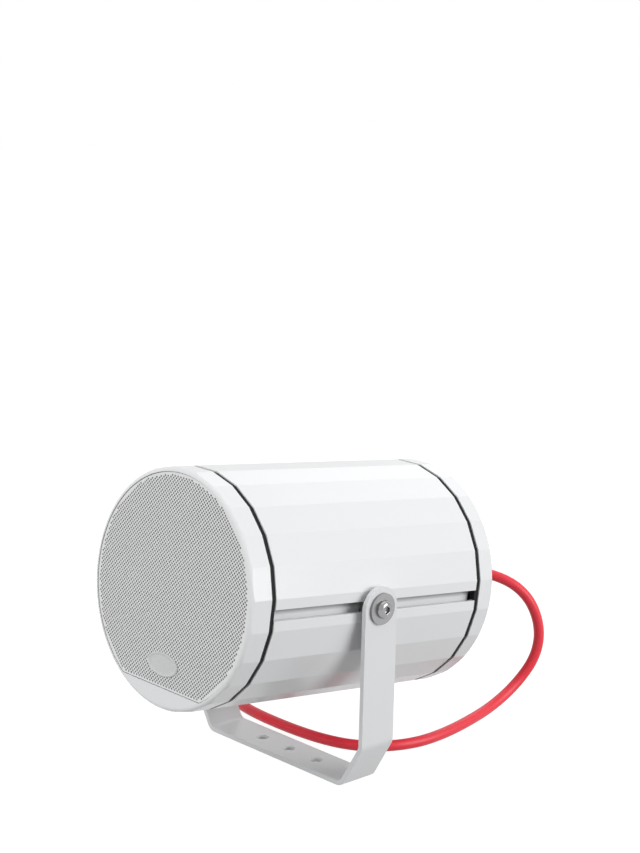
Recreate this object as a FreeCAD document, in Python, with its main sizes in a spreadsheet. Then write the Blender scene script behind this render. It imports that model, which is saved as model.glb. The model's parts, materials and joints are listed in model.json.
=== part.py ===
import FreeCAD, Part
import math
import os
import re

import Sketcher

# Driving dimensions in millimetres, and the tilt in degrees. The part stands on its bracket with the
# base centre at the origin, +X to the right seen from the front, the grille facing -Y and +Z up. The
# housing and what it carries are built level, then turned about the pivots by the tilt at rest.
SIZES = {
    # faceted housing
    "axis_height": 114.0,
    "rest_tilt": 7.0,
    "pivot_to_front": 97.8,
    "body_radius": 72.0,
    "facet_count": 24.0,
    "shell_length": 169.5,
    "shell_wall": 4.0,
    "ring_length": 15.0,
    "cap_length": 12.5,
    "cap_plate": 3.0,
    "edge_round": 3.0,
    "gasket_thickness": 3.5,
    "gasket_inset": 0.8,
    # side slots
    "slot_mouth": 6.6,
    "slot_lip": 2.2,
    "slot_width": 10.6,
    "slot_depth": 4.0,
    "slot_wall": 2.2,
    # screw ports that run through the housing
    "port_inset": 4.9,
    "port_radius": 5.5,
    "small_screw_radius": 1.7,
    "small_head_radius": 2.9,
    "small_head_height": 2.4,
    "screw_grip": 9.0,
    "screw_clearance": 0.25,
    "thread_clearance": 0.05,
    "counterbore_depth": 4.0,
    # grille and front ring
    "rim_width": 2.4,
    "seat_ledge": 2.0,
    "grille_recess": 0.5,
    "grille_sheet": 1.2,
    "grille_clearance": 0.4,
    "grille_flat_cut": 9.8,
    "grille_pitch": 11.5,
    "grille_hole": 5.6,
    "grille_margin": 5.0,
    "cloth_thickness": 0.8,
    "badge_length": 28.0,
    "badge_height": 14.0,
    "badge_thickness": 1.0,
    "badge_gap": 6.6,
    "baffle_thickness": 4.5,
    # loudspeaker driver
    "driver_clearance": 1.0,
    "flange_gap": 3.2,
    "flange_width": 10.0,
    "flange_screw_inset": 4.0,
    "basket_sheet": 1.5,
    "basket_depth": 30.0,
    "basket_step": 10.0,
    "ledge_depth": 18.0,
    "ledge_width": 6.0,
    "window_width": 28.0,
    "window_margin": 4.0,
    "roll_radius": 3.0,
    "roll_inset": 2.0,
    "surround_lip": 4.4,
    "surround_flange": 1.8,
    "surround_sheet": 0.7,
    "cone_sheet": 0.7,
    "coil_radius": 12.6,
    "coil_sheet": 0.5,
    "coil_winding": 0.5,
    "coil_reach": 3.5,
    "neck_depth": 12.0,
    "dust_cap_radius": 15.0,
    "dust_cap_rise": 5.0,
    "spider_sheet": 0.6,
    "spider_wave": 1.0,
    "air_gap": 0.6,
    "top_plate_radius": 30.0,
    "top_plate_thickness": 4.0,
    "magnet_radius": 36.0,
    "magnet_bore": 17.0,
    "magnet_thickness": 12.0,
    "yoke_thickness": 4.0,
    # transformer and connections on a plate inside the rear cap
    "plate_thickness": 2.0,
    "plate_stand_off": 25.0,
    "plate_bar_margin": 6.0,
    "plate_bar_height": 24.0,
    "plate_top_margin": 2.0,
    "post_spacing": 80.0,
    "post_radius": 4.0,
    "core_width": 57.0,
    "core_height": 47.5,
    "core_depth": 26.0,
    "core_limb": 9.5,
    "core_rise": 27.0,
    "winding_overhang": 6.0,
    "winding_clearance": 0.3,
    "terminal_length": 30.0,
    "terminal_depth": 12.0,
    "terminal_height": 16.0,
    "terminal_entry": 8.0,
    "fuse_radius": 2.0,
    "fuse_length": 14.0,
    "fuse_offset": 18.0,
    # cable and its gland
    "cable_radius": 3.5,
    "cable_inside": 8.0,
    "cable_lead": 39.0,
    "cable_floor_gap": 0.1,
    "core_radius": 1.2,
    "core_spacing": 3.6,
    "tail_length": 14.0,
    "gland_thread": 10.0,
    "gland_front_thread": 9.2,
    "gland_front_length": 8.0,
    "gland_hex": 13.5,
    "gland_hex_length": 5.0,
    "gland_bore": 7.0,
    "gland_clearance": 0.3,
    "lock_nut_length": 4.5,
    "dome_radius": 12.0,
    "dome_length": 15.0,
    "dome_round": 5.0,
    "seal_length": 11.0,
    # bracket and pivots
    "strip_width": 26.0,
    "strip_sheet": 3.0,
    "base_half": 61.5,
    "knee_height": 28.0,
    "bend_radius": 5.0,
    "base_hole": 8.0,
    "base_pitch": 25.0,
    "pivot_radius": 3.0,
    "pivot_clearance": 0.3,
    "washer_radius": 9.6,
    "washer_sheet": 1.6,
    "spacer_sheet": 3.6,
    "head_radius": 5.6,
    "head_height": 3.4,
    "head_round": 2.0,
    "socket_flats": 5.0,
    "socket_depth": 2.0,
    "nut_length": 12.0,
    "nut_sheet": 3.4,
    "nut_clearance": 0.3,
}

# Route of the cable's centre line after its straight lead, chosen by hand: it loops down and lies on the
# floor. Each point is its place across, behind the cap's back, and above the height where the cable rests.
CABLE_POINTS = [
    (37.8, 69.7, 83.3),
    (46.0, 84.8, 40.0),
    (34.5, 59.7, 3.2),
    (49.4, -18.1, 0.0),
    (41.3, -58.5, 0.0),
    (10.0, -82.4, 0.0),
    (-68.6, -83.8, 0.0),
    (-105.0, -67.5, 0.0),
    (-148.0, -36.2, 0.0),
    (-160.0, 11.8, 0.0),
]
# Share of the shorter run that a bend of the cable takes up.
BEND_SHARE = 0.45

# Places that several pieces share, written as expressions of the driving dimensions.
FLAT = "(body_radius * cos(180deg / facet_count))"
SHELL_BORE = f"({FLAT} - shell_wall)"
FRONT = "(-pivot_to_front)"
RING_BACK = f"({FRONT} + ring_length)"
SHELL_FRONT = f"({RING_BACK} + gasket_thickness)"
SHELL_BACK = f"({SHELL_FRONT} + shell_length)"
CAP_FRONT = f"({SHELL_BACK} + gasket_thickness)"
CAP_BACK = f"({CAP_FRONT} + cap_length)"
CAP_INSIDE = f"({CAP_BACK} - cap_plate)"
BAFFLE_FRONT = f"({RING_BACK} - baffle_thickness)"
SEAT_DEPTH = "(grille_recess + grille_sheet + cloth_thickness)"
SEAT_RADIUS = f"({FLAT} - rim_width)"
GRILLE_RADIUS = f"({SEAT_RADIUS} - grille_clearance)"
SEAT_DROP = f"({SEAT_RADIUS} - grille_flat_cut)"
GRILLE_DROP = f"({SEAT_DROP} - grille_clearance)"
BADGE_DROP = f"({GRILLE_DROP} - badge_gap - badge_height / 2)"
GRILLE_FRONT = f"({FRONT} + grille_recess)"
CLOTH_FRONT = f"({GRILLE_FRONT} + grille_sheet)"
PORT_CIRCLE = f"({SHELL_BORE} - port_inset)"
PORT_OFFSET = f"({PORT_CIRCLE} * cos(45deg))"
FLANGE_RADIUS = f"({PORT_CIRCLE} - small_head_radius - flange_gap)"
DRIVER_OFFSET = f"(({FLANGE_RADIUS} - flange_screw_inset) * cos(45deg))"
DRIVER_BORE = f"({FLANGE_RADIUS} - flange_width)"
SCREW_HOLE = "(small_screw_radius + screw_clearance)"
PILOT_HOLE = "(small_screw_radius + thread_clearance)"
BASKET_RADIUS = f"({DRIVER_BORE} - driver_clearance)"
BASKET_STEP = f"({BASKET_RADIUS} - basket_step)"
LEDGE_RADIUS = f"({BASKET_STEP} - ledge_width)"
ROLL_CENTRE = f"({DRIVER_BORE} - roll_inset)"
ROLL_INNER = f"({ROLL_CENTRE} - roll_radius)"
ROLL_OUTER = f"({ROLL_CENTRE} + roll_radius)"
COIL_OUTER = "(coil_radius + coil_sheet)"
COIL_WOUND = f"({COIL_OUTER} + coil_winding)"
POLE_GAP = f"({COIL_WOUND} + air_gap)"
SURROUND_FRONT = "(-basket_sheet - surround_sheet)"
TOP_PLATE_BACK = "(basket_depth + top_plate_thickness)"
MAGNET_BACK = f"({TOP_PLATE_BACK} + magnet_thickness)"
PLATE_BACK = f"({CAP_INSIDE} - plate_stand_off)"
PLATE_FRONT = f"({PLATE_BACK} - plate_thickness)"
CORE_CENTRE = "(axis_height + core_rise)"
SLOT_FLOOR = f"({FLAT} - slot_lip - slot_depth)"
LEG_INNER = f"({FLAT} + spacer_sheet)"
LEG_OUTER = f"({LEG_INNER} + strip_sheet)"
HEAD_SEAT = f"({LEG_OUTER} + washer_sheet)"
NUT_FRONT = f"({FLAT} - slot_lip)"
NUT_BACK = f"({NUT_FRONT} - nut_sheet)"

ALONG_Y = FreeCAD.Rotation(FreeCAD.Vector(1, 0, 0), -90)
ALONG_X = FreeCAD.Rotation(FreeCAD.Vector(0, 1, 0), 90)
UNTURNED = FreeCAD.Rotation()
FRONT_UP = FreeCAD.Vector(-1, 0, 0)
TINY = 1e-9

doc = FreeCAD.newDocument("sound_projector")
sheet = doc.addObject("Spreadsheet::Sheet", "sizes")
for row, (alias, number) in enumerate(SIZES.items(), start=1):
    sheet.set(f"A{row}", alias)
    sheet.set(f"B{row}", str(number))
    sheet.setAlias(f"B{row}", alias)
doc.recompute()

ALIAS = re.compile(r"\b(" + "|".join(SIZES) + r")\b")
nodes = []


def formula(text):
    """Put the sheet's name before each alias in an expression."""
    return ALIAS.sub(r"sizes.\1", text)


def value(text):
    """Number that an expression of the driving dimensions gives."""
    return float(sheet.evalExpression(formula(text)))


def bind(item, **properties):
    """Tie properties of an object to expressions."""
    for name, text in properties.items():
        item.setExpression(name, formula(text))


def place(item, across="0", along="0", up="axis_height", turn=UNTURNED):
    """Turn an object, and tie its position to expressions."""
    item.Placement = FreeCAD.Placement(FreeCAD.Vector(), turn)
    for axis, text in zip("xyz", (across, along, up)):
        item.setExpression(f"Placement.Base.{axis}", formula(text))


def tilted(item):
    """Object turned about the pivots by the tilt at rest, with its place tied to expressions."""
    holder = doc.addObject("Part::Compound", f"{item.Name}_at_rest")
    holder.Links = [item]
    holder.Placement = FreeCAD.Placement(FreeCAD.Vector(), FreeCAD.Rotation(FRONT_UP, value("rest_tilt")))
    for path, text in (("Rotation.Angle", "rest_tilt * 1deg"),
                       ("Base.y", "-axis_height * sin(rest_tilt * 1deg)"),
                       ("Base.z", "axis_height * (1 - cos(rest_tilt * 1deg))")):
        holder.setExpression(f"Placement.{path}", formula(text))
    return holder


def node(item, label, tilts=True):
    """Keep an object as a sub-part with a label of its own, turned by the tilt at rest if it tilts."""
    if tilts:
        item.Label = f"{label}_level"
        item = tilted(item)
    item.Label = label
    nodes.append(item)
    return item


def new_body(label, along="0", across="0", up="axis_height"):
    """Empty body whose origin is placed by expressions."""
    body = doc.addObject("PartDesign::Body", label)
    place(body, across, along, up)
    return body


def new_sketch(body, role, name, offset=None):
    """Sketch on one of a body's own origin planes, moved along its normal by an expression."""
    sketch = body.newObject("Sketcher::SketchObject", f"{body.Name}_{name}")
    plane = next(feature for feature in body.Origin.OriginFeatures if feature.Role == role)
    sketch.AttachmentSupport = [(plane, "")]
    sketch.MapMode = "FlatFace"
    if offset:
        sketch.setExpression("AttachmentOffset.Base.z", formula(offset))
    return sketch


def pin(sketch, curve, end, across, up):
    """Hold one point of a sketch at a place given by two expressions."""
    for kind, axis, text in (("DistanceX", -2, across), ("DistanceY", -1, up)):
        distance = value(text)
        if abs(distance) < TINY:
            sketch.addConstraint(Sketcher.Constraint("PointOnObject", curve, end, axis))
            continue
        index = sketch.addConstraint(Sketcher.Constraint(kind, -1, 1, curve, end, distance))
        sketch.setExpression(f"Constraints[{index}]", formula(text))


def set_radius(sketch, curve, radius):
    """Give an arc or a circle of a sketch its radius."""
    index = sketch.addConstraint(Sketcher.Constraint("Radius", curve, value(radius)))
    sketch.setExpression(f"Constraints[{index}]", formula(radius))


def outline(sketch, points):
    """Closed outline of straight lines through points given as pairs of expressions."""
    first = len(sketch.Geometry)
    corners = [FreeCAD.Vector(value(across), value(up), 0) for across, up in points]
    for start, end in zip(corners, corners[1:] + corners[:1]):
        sketch.addGeometry(Part.LineSegment(start, end))
    for number, (across, up) in enumerate(points):
        before = first + (number - 1) % len(points)
        sketch.addConstraint(Sketcher.Constraint("Coincident", before, 2, first + number, 1))
        pin(sketch, first + number, 1, across, up)


def rectangle(sketch, left, right, bottom, top):
    """Rectangle between four expressions."""
    outline(sketch, [(left, bottom), (right, bottom), (right, top), (left, top)])


def circle(sketch, radius, across="0", up="0"):
    """Circle about a point given by two expressions."""
    centre = FreeCAD.Vector(value(across), value(up), 0)
    curve = sketch.addGeometry(Part.Circle(centre, FreeCAD.Vector(0, 0, 1), value(radius)))
    pin(sketch, curve, 3, across, up)
    set_radius(sketch, curve, radius)


def four_circles(sketch, radius, offset):
    """Four equal circles on the diagonals of a sketch."""
    for across in (offset, f"-{offset}"):
        for up in (offset, f"-{offset}"):
            circle(sketch, radius, across, up)


def flat_circle(sketch, radius, drop):
    """Circle about the origin with a straight lower edge, drop below the centre."""
    start = math.asin(-value(drop) / value(radius))
    end = math.pi - start
    full = Part.Circle(FreeCAD.Vector(), FreeCAD.Vector(0, 0, 1), value(radius))
    arc = sketch.addGeometry(Part.ArcOfCircle(full, start, end))
    left = full.value(end)
    right = full.value(start)
    edge = sketch.addGeometry(Part.LineSegment(left, right))
    sketch.addConstraint(Sketcher.Constraint("Coincident", arc, 3, -1, 1))
    sketch.addConstraint(Sketcher.Constraint("Coincident", arc, 2, edge, 1))
    sketch.addConstraint(Sketcher.Constraint("Coincident", edge, 2, arc, 1))
    sketch.addConstraint(Sketcher.Constraint("Horizontal", edge))
    set_radius(sketch, arc, radius)
    index = sketch.addConstraint(Sketcher.Constraint("DistanceY", -1, 1, edge, 1, -value(drop)))
    sketch.setExpression(f"Constraints[{index}]", formula(f"-{drop}"))


def facet_outline(sketch, radius):
    """Regular outline of the housing, with a flat centred on each side."""
    count = round(value("facet_count"))
    step = "(360deg / facet_count)"
    angles = [f"({step} * ({number} + 0.5))" for number in range(count)]
    outline(sketch, [(f"{radius} * cos({angle})", f"{radius} * sin({angle})") for angle in angles])


def pad(body, sketch, length, back=None, reverse=False, middle=False):
    """Pad a sketch; back is a second length on the other side."""
    feature = body.newObject("PartDesign::Pad", f"{sketch.Name}_pad")
    feature.Profile = sketch
    feature.Reversed = reverse
    bind(feature, Length=length)
    if middle:
        feature.SideType = "Symmetric"
    if back:
        feature.SideType = "Two sides"
        bind(feature, Length2=back)
    return feature


def pocket(body, sketch, length=None, reverse=False):
    """Cut a sketch to a length, or right through both ways where there is none."""
    feature = body.newObject("PartDesign::Pocket", f"{sketch.Name}_pocket")
    feature.Profile = sketch
    feature.Reversed = reverse
    if length:
        bind(feature, Length=length)
    else:
        feature.Type = "ThroughAll"
        feature.SideType = "Symmetric"
    return feature


def revolve(body, sketch, kind="PartDesign::Revolution"):
    """Turn a sketch round its horizontal axis, as a solid or as a groove."""
    feature = body.newObject(kind, f"{sketch.Name}_turn")
    feature.Profile = sketch
    feature.ReferenceAxis = (sketch, ["H_Axis"])
    feature.Angle = 360
    return feature


def turned(label, points, along="0", across="0", up="axis_height", role="YZ_Plane"):
    """Body turned from an outline of (axial, radial) expressions; its axis lies along Y, or X on XZ_Plane."""
    body = new_body(label, along, across, up)
    sketch = new_sketch(body, role, "profile")
    outline(sketch, points)
    revolve(body, sketch)
    return body


def tube(label, start, end, inner, outer, along="0", role="YZ_Plane"):
    """Ring or tube between two axial places."""
    points = [(start, inner), (end, inner), (end, outer), (start, outer)]
    return turned(label, points, along=along, role=role)


def box(label, length, depth, height, across="0", along="0", up="axis_height"):
    """Block centred across and up on its place, and starting at it along Y."""
    item = doc.addObject("Part::Box", label)
    bind(item, Length=length, Width=depth, Height=height)
    place(item, f"{across} - ({length}) / 2", along, f"{up} - ({height}) / 2")
    return item


def cylinder(label, radius, length, across="0", along="0", up="axis_height", turn=ALONG_Y):
    """Round bar from its place along Y, or along another turned direction."""
    item = doc.addObject("Part::Cylinder", label)
    bind(item, Radius=radius, Height=length)
    place(item, across, along, up, turn)
    return item


def prism(label, sides, radius, length, across="0", along="0", turn=ALONG_Y, first_angle="0deg"):
    """Regular prism about its own axis, turned on that axis by first_angle."""
    item = doc.addObject("Part::Prism", label)
    bind(item, Polygon=sides, Circumradius=radius, Height=length)
    spin = FreeCAD.Rotation(FreeCAD.Vector(0, 0, 1), value(first_angle))
    place(item, across, along, "axis_height", turn.multiply(spin))
    return item


def cut(label, base, tool):
    """One object less another."""
    item = doc.addObject("Part::Cut", label)
    item.Base = base
    item.Tool = tool
    return item


def fuse(label, pieces):
    """Several objects as one solid."""
    item = doc.addObject("Part::MultiFuse", label)
    item.Shapes = pieces
    item.Refine = True
    return item


def group(label, pieces):
    """Separate solids that share one sub-part."""
    item = doc.addObject("Part::Compound", label)
    item.Links = pieces
    return item


def mirrored(source, normal, up="axis_height"):
    """Copy of an object mirrored in a plane through the speaker's axis."""
    item = doc.addObject("Part::Mirroring", f"{source.Name}_mirror")
    item.Source = source
    item.Normal = normal
    item.setExpression("Base.z", formula(up))
    return item


def pair(label, source):
    """An object and its mirror image on the other side."""
    return group(label, [source, mirrored(source, FreeCAD.Vector(1, 0, 0))])


def four(label, source):
    """An object mirrored to both sides, and below the axis."""
    upper = pair(f"{label}_upper", source)
    return group(label, [upper, mirrored(upper, FreeCAD.Vector(0, 0, 1))])


def rounded_edge(body, end, sign):
    """Groove that rounds a faceted end: end is its axial place, and sign points away from the solid."""
    sketch = new_sketch(body, "YZ_Plane", "edge")
    inside = f"({end} - {sign} * edge_round)"
    centre = FreeCAD.Vector(value(inside), value("body_radius - edge_round"), 0)
    full = Part.Circle(centre, FreeCAD.Vector(0, 0, 1), value("edge_round"))
    angles = (0, math.pi / 2) if sign > 0 else (math.pi / 2, math.pi)
    arc = sketch.addGeometry(Part.ArcOfCircle(full, *angles))
    rim, side = (1, 2) if sign > 0 else (2, 1)
    beyond = f"({end} + {sign} * edge_round)"
    low = "(body_radius - edge_round)"
    high = "(body_radius + edge_round)"
    corners = [(end, low), (beyond, low), (beyond, high), (inside, high), (inside, "body_radius")]
    places = [FreeCAD.Vector(value(across), value(up), 0) for across, up in corners]
    lines = [sketch.addGeometry(Part.LineSegment(a, b)) for a, b in zip(places, places[1:])]
    sketch.addConstraint(Sketcher.Constraint("Coincident", arc, rim, lines[0], 1))
    sketch.addConstraint(Sketcher.Constraint("Coincident", arc, side, lines[-1], 2))
    for before, after in zip(lines, lines[1:]):
        sketch.addConstraint(Sketcher.Constraint("Coincident", before, 2, after, 1))
    for line, (across, up) in zip(lines, corners):
        pin(sketch, line, 1, across, up)
    pin(sketch, lines[-1], 2, *corners[-1])
    set_radius(sketch, arc, "edge_round")
    revolve(body, sketch, "PartDesign::Groove")


def small_screw(label, reach, offset, along, sign):
    """Pan-head screw whose head seats at along; sign is the way its shank points along Y."""
    head = f"-{sign} * small_head_height"
    shoulder = f"-{sign} * small_head_height / 2"
    points = [(head, "0"), (head, "small_head_radius * 0.7"), (shoulder, "small_head_radius"),
              ("0", "small_head_radius"), ("0", "small_screw_radius"),
              (f"{sign} * {reach}", "small_screw_radius"), (f"{sign} * {reach}", "0")]
    return turned(label, points, along=along, across=offset, up=f"axis_height + {offset}")


def make_body_shell():
    """Extruded housing: faceted outside, round inside, with a T-slot on each side and four screw ports."""
    body = new_body("body_shell", along=SHELL_FRONT)
    section = new_sketch(body, "XZ_Plane", "section")
    facet_outline(section, "body_radius")
    pad(body, section, "shell_length", reverse=True)
    bore = new_sketch(body, "XZ_Plane", "bore")
    circle(bore, SHELL_BORE)
    pocket(body, bore)
    ribs = new_sketch(body, "XZ_Plane", "ribs")
    half = "(slot_width / 2 + slot_wall)"
    inside = f"({SLOT_FLOOR} - slot_wall)"
    outside = f"({SHELL_BORE} + shell_wall / 2)"
    rectangle(ribs, inside, outside, f"-{half}", half)
    rectangle(ribs, f"-{outside}", f"-{inside}", f"-{half}", half)
    four_circles(ribs, "port_radius", PORT_OFFSET)
    pad(body, ribs, "shell_length", reverse=True)
    slots = new_sketch(body, "XZ_Plane", "slots")
    lip = f"({FLAT} - slot_lip)"
    past = f"({FLAT} + slot_lip)"
    for sign in ("", "-"):
        outline(slots, [(f"{sign}{across}", up) for across, up in (
            (SLOT_FLOOR, "slot_width / 2"), (SLOT_FLOOR, "-slot_width / 2"), (lip, "-slot_width / 2"),
            (lip, "-slot_mouth / 2"), (past, "-slot_mouth / 2"), (past, "slot_mouth / 2"),
            (lip, "slot_mouth / 2"), (lip, "slot_width / 2"))])
    four_circles(slots, PILOT_HOLE, PORT_OFFSET)
    pocket(body, slots)
    return node(body, "body_shell")


def make_front_ring():
    """Faceted front ring: rounded edge, seat for the grille, and a baffle that carries the driver."""
    body = new_body("front_ring", along=FRONT)
    section = new_sketch(body, "XZ_Plane", "section")
    facet_outline(section, "body_radius")
    pad(body, section, "ring_length", reverse=True)
    rounded_edge(body, "0", -1)
    seat = new_sketch(body, "XZ_Plane", "seat")
    flat_circle(seat, SEAT_RADIUS, SEAT_DROP)
    pocket(body, seat, SEAT_DEPTH)
    cavity = new_sketch(body, "XZ_Plane", "cavity")
    flat_circle(cavity, f"({SEAT_RADIUS} - seat_ledge)", f"({SEAT_DROP} - seat_ledge)")
    pocket(body, cavity, "ring_length - baffle_thickness")
    holes = new_sketch(body, "XZ_Plane", "holes")
    circle(holes, DRIVER_BORE)
    four_circles(holes, SCREW_HOLE, PORT_OFFSET)
    four_circles(holes, PILOT_HOLE, DRIVER_OFFSET)
    pocket(body, holes)
    return node(body, "front_ring")


def make_gasket(label, along):
    """Faceted seal, set in a little from the housing's sides."""
    plate = prism(f"{label}_plate", "facet_count", "body_radius - gasket_inset", "gasket_thickness",
                  along=along, first_angle="180 / facet_count")
    bore = cylinder(f"{label}_bore", SHELL_BORE, "gasket_thickness", along=along)
    return node(cut(label, plate, bore), label)


def make_rear_cap():
    """Faceted end cap: rounded edge, screw bosses, posts for the mounting plate and the gland's hole."""
    body = new_body("rear_cap", along=CAP_FRONT)
    section = new_sketch(body, "XZ_Plane", "section")
    facet_outline(section, "body_radius")
    pad(body, section, "cap_length", reverse=True)
    rounded_edge(body, "cap_length", 1)
    cavity = new_sketch(body, "XZ_Plane", "cavity")
    circle(cavity, SHELL_BORE)
    pocket(body, cavity, "cap_length - cap_plate")
    bosses = new_sketch(body, "XZ_Plane", "bosses")
    four_circles(bosses, "port_radius", PORT_OFFSET)
    pad(body, bosses, "cap_length - cap_plate / 2", reverse=True)
    posts = new_sketch(body, "XZ_Plane", "posts")
    circle(posts, "post_radius", "post_spacing / 2")
    circle(posts, "post_radius", "-post_spacing / 2")
    pad(body, posts, f"{CAP_FRONT} - {PLATE_BACK}", back="cap_length - cap_plate / 2")
    heads = new_sketch(body, "XZ_Plane", "heads", offset="-cap_length")
    four_circles(heads, "small_head_radius + screw_clearance * 2", PORT_OFFSET)
    pocket(body, heads, "counterbore_depth", reverse=True)
    holes = new_sketch(body, "XZ_Plane", "holes")
    circle(holes, "gland_thread + gland_clearance")
    four_circles(holes, SCREW_HOLE, PORT_OFFSET)
    pocket(body, holes)
    pilots = new_sketch(body, "XZ_Plane", "pilots", offset=f"{CAP_FRONT} - {PLATE_BACK}")
    circle(pilots, PILOT_HOLE, "post_spacing / 2")
    circle(pilots, PILOT_HOLE, "-post_spacing / 2")
    pocket(body, pilots, "screw_grip + plate_thickness")
    return node(body, "rear_cap")


def hole_centres():
    """Staggered places of the grille's holes that clear its edge and the badge."""
    pitch = value("grille_pitch")
    rise = pitch * math.sin(math.radians(60))
    reach = value(GRILLE_RADIUS) - value("grille_margin")
    floor = value("grille_margin") - value(GRILLE_DROP)
    rows = math.ceil(reach / rise)
    for row in range(-rows, rows + 1):
        for column in range(-rows - 1, rows + 2):
            across = (column + 0.5 * (row % 2)) * pitch
            up = row * rise
            badge_across = across / (value("badge_length") / 2 + pitch / 3)
            badge_up = (up + value(BADGE_DROP)) / (value("badge_height") / 2 + pitch / 3)
            on_badge = math.hypot(badge_across, badge_up) < 1
            if math.hypot(across, up) < reach and up > floor and not on_badge:
                yield across, up


def make_grille():
    """Perforated disc with a straight lower edge, its holes in staggered rows."""
    plate = new_body("grille_plate", along=GRILLE_FRONT)
    section = new_sketch(plate, "XZ_Plane", "section")
    flat_circle(section, GRILLE_RADIUS, GRILLE_DROP)
    pad(plate, section, "grille_sheet", reverse=True)
    sheet_depth = value("grille_sheet")
    punches = doc.addObject("Part::Feature", "grille_punches")
    punches.Shape = Part.makeCompound([
        Part.makeCylinder(value("grille_hole") / 2, 3 * sheet_depth,
                          FreeCAD.Vector(across, -sheet_depth, up), FreeCAD.Vector(0, 1, 0))
        for across, up in hole_centres()])
    place(punches, along=GRILLE_FRONT)
    return node(cut("grille", plate, punches), "grille")


def make_badge():
    """Plain oval plate on the front of the grille."""
    oval = doc.addObject("Part::Ellipse", "badge_oval")
    bind(oval, MajorRadius="badge_length / 2", MinorRadius="badge_height / 2")
    place(oval, along=GRILLE_FRONT, up=f"axis_height - {BADGE_DROP}", turn=ALONG_Y)
    plate = doc.addObject("Part::Extrusion", "badge_blank")
    plate.Base = oval
    plate.DirMode = "Custom"
    plate.Dir = FreeCAD.Vector(0, -1, 0)
    plate.Solid = True
    bind(plate, LengthFwd="badge_thickness")
    return node(plate, "badge_blank")


def make_grille_cloth():
    """Cloth clamped between the grille and its seat."""
    body = new_body("grille_cloth", along=CLOTH_FRONT)
    section = new_sketch(body, "XZ_Plane", "section")
    flat_circle(section, GRILLE_RADIUS, GRILLE_DROP)
    pad(body, section, "cloth_thickness", reverse=True)
    return node(body, "grille_cloth")


def make_driver_basket():
    """Pressed frame: flange, sloped wall with four windows, ledge for the spider and a back plate."""
    ledge_back = "(ledge_depth + basket_sheet)"
    plate_front = "(basket_depth - basket_sheet)"
    cup = f"({LEDGE_RADIUS} + basket_sheet)"
    points = [
        ("-basket_sheet", FLANGE_RADIUS), ("0", FLANGE_RADIUS), ("0", BASKET_RADIUS),
        (ledge_back, BASKET_STEP), (ledge_back, cup), ("basket_depth", cup), ("basket_depth", POLE_GAP),
        (plate_front, POLE_GAP), (plate_front, LEDGE_RADIUS), ("ledge_depth", LEDGE_RADIUS),
        ("ledge_depth", f"{BASKET_STEP} - basket_sheet"),
        ("-basket_sheet", f"{BASKET_RADIUS} - basket_sheet")]
    body = turned("driver_basket", points, along=BAFFLE_FRONT)
    front = "window_margin"
    back = "(ledge_depth - window_margin)"
    half = "(window_width / 2)"
    sides = new_sketch(body, "YZ_Plane", "side_windows")
    rectangle(sides, front, back, f"-{half}", half)
    pocket(body, sides)
    ends = new_sketch(body, "XY_Plane", "end_windows")
    rectangle(ends, f"-{half}", half, front, back)
    pocket(body, ends)
    holes = new_sketch(body, "XZ_Plane", "holes")
    four_circles(holes, SCREW_HOLE, DRIVER_OFFSET)
    pocket(body, holes)
    return node(body, "driver_basket")


def arc_points(centre, radius, steps):
    """Points of a half roll over a radial centre, bulging to the front of the surround."""
    turn = 180 / steps
    return [(f"{SURROUND_FRONT} - {radius} * sin({number * turn}deg)",
             f"{centre} - {radius} * cos({number * turn}deg)") for number in range(steps + 1)]


def make_driver_surround():
    """Rubber half roll between the cone's edge and the flange."""
    steps = 6
    outer = arc_points(ROLL_CENTRE, "(roll_radius + surround_sheet)", steps)
    inner = arc_points(ROLL_CENTRE, "roll_radius", steps)
    back = "-basket_sheet"
    cone_edge = f"({ROLL_INNER} - surround_lip)"
    flange_edge = f"({ROLL_OUTER} + surround_flange)"
    points = [(back, cone_edge), (SURROUND_FRONT, cone_edge), *outer, (SURROUND_FRONT, flange_edge),
              (back, flange_edge), (back, ROLL_OUTER), *inner[::-1], (back, ROLL_INNER)]
    return node(turned("driver_surround", points, along=BAFFLE_FRONT), "driver_surround")


def make_driver_cone():
    """Paper cone from the voice coil to the surround."""
    bend = f"({ROLL_INNER} - surround_lip)"
    rim = "(-basket_sheet)"
    rim_back = f"({rim} + cone_sheet)"
    points = [("neck_depth - cone_sheet", COIL_OUTER), (rim, bend), (rim, ROLL_INNER), (rim_back, ROLL_INNER),
              (rim_back, f"{bend} + cone_sheet"), ("neck_depth + cone_sheet", COIL_OUTER)]
    return node(turned("driver_cone", points, along=BAFFLE_FRONT), "driver_cone")


def make_dust_cap():
    """Dome over the voice coil, seated on the cone."""
    cone_width = f"({ROLL_INNER} - surround_lip - {COIL_OUTER})"
    slope = f"((neck_depth - cone_sheet + basket_sheet) / {cone_width})"
    seat = f"(neck_depth - cone_sheet - {slope} * (dust_cap_radius - {COIL_OUTER}))"
    steps = 4
    turn = 90 / steps
    outer = [(f"{seat} - dust_cap_rise * sin({number * turn}deg)",
              f"dust_cap_radius * cos({number * turn}deg)") for number in range(steps + 1)]
    inner = [(f"{seat} + cone_sheet - dust_cap_rise * sin({number * turn}deg)",
              f"(dust_cap_radius - cone_sheet) * cos({number * turn}deg)") for number in range(steps + 1)]
    return node(turned("dust_cap", outer + inner[::-1][:-1] + [(seat, "dust_cap_radius - cone_sheet")],
                       along=BAFFLE_FRONT), "dust_cap")


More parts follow.
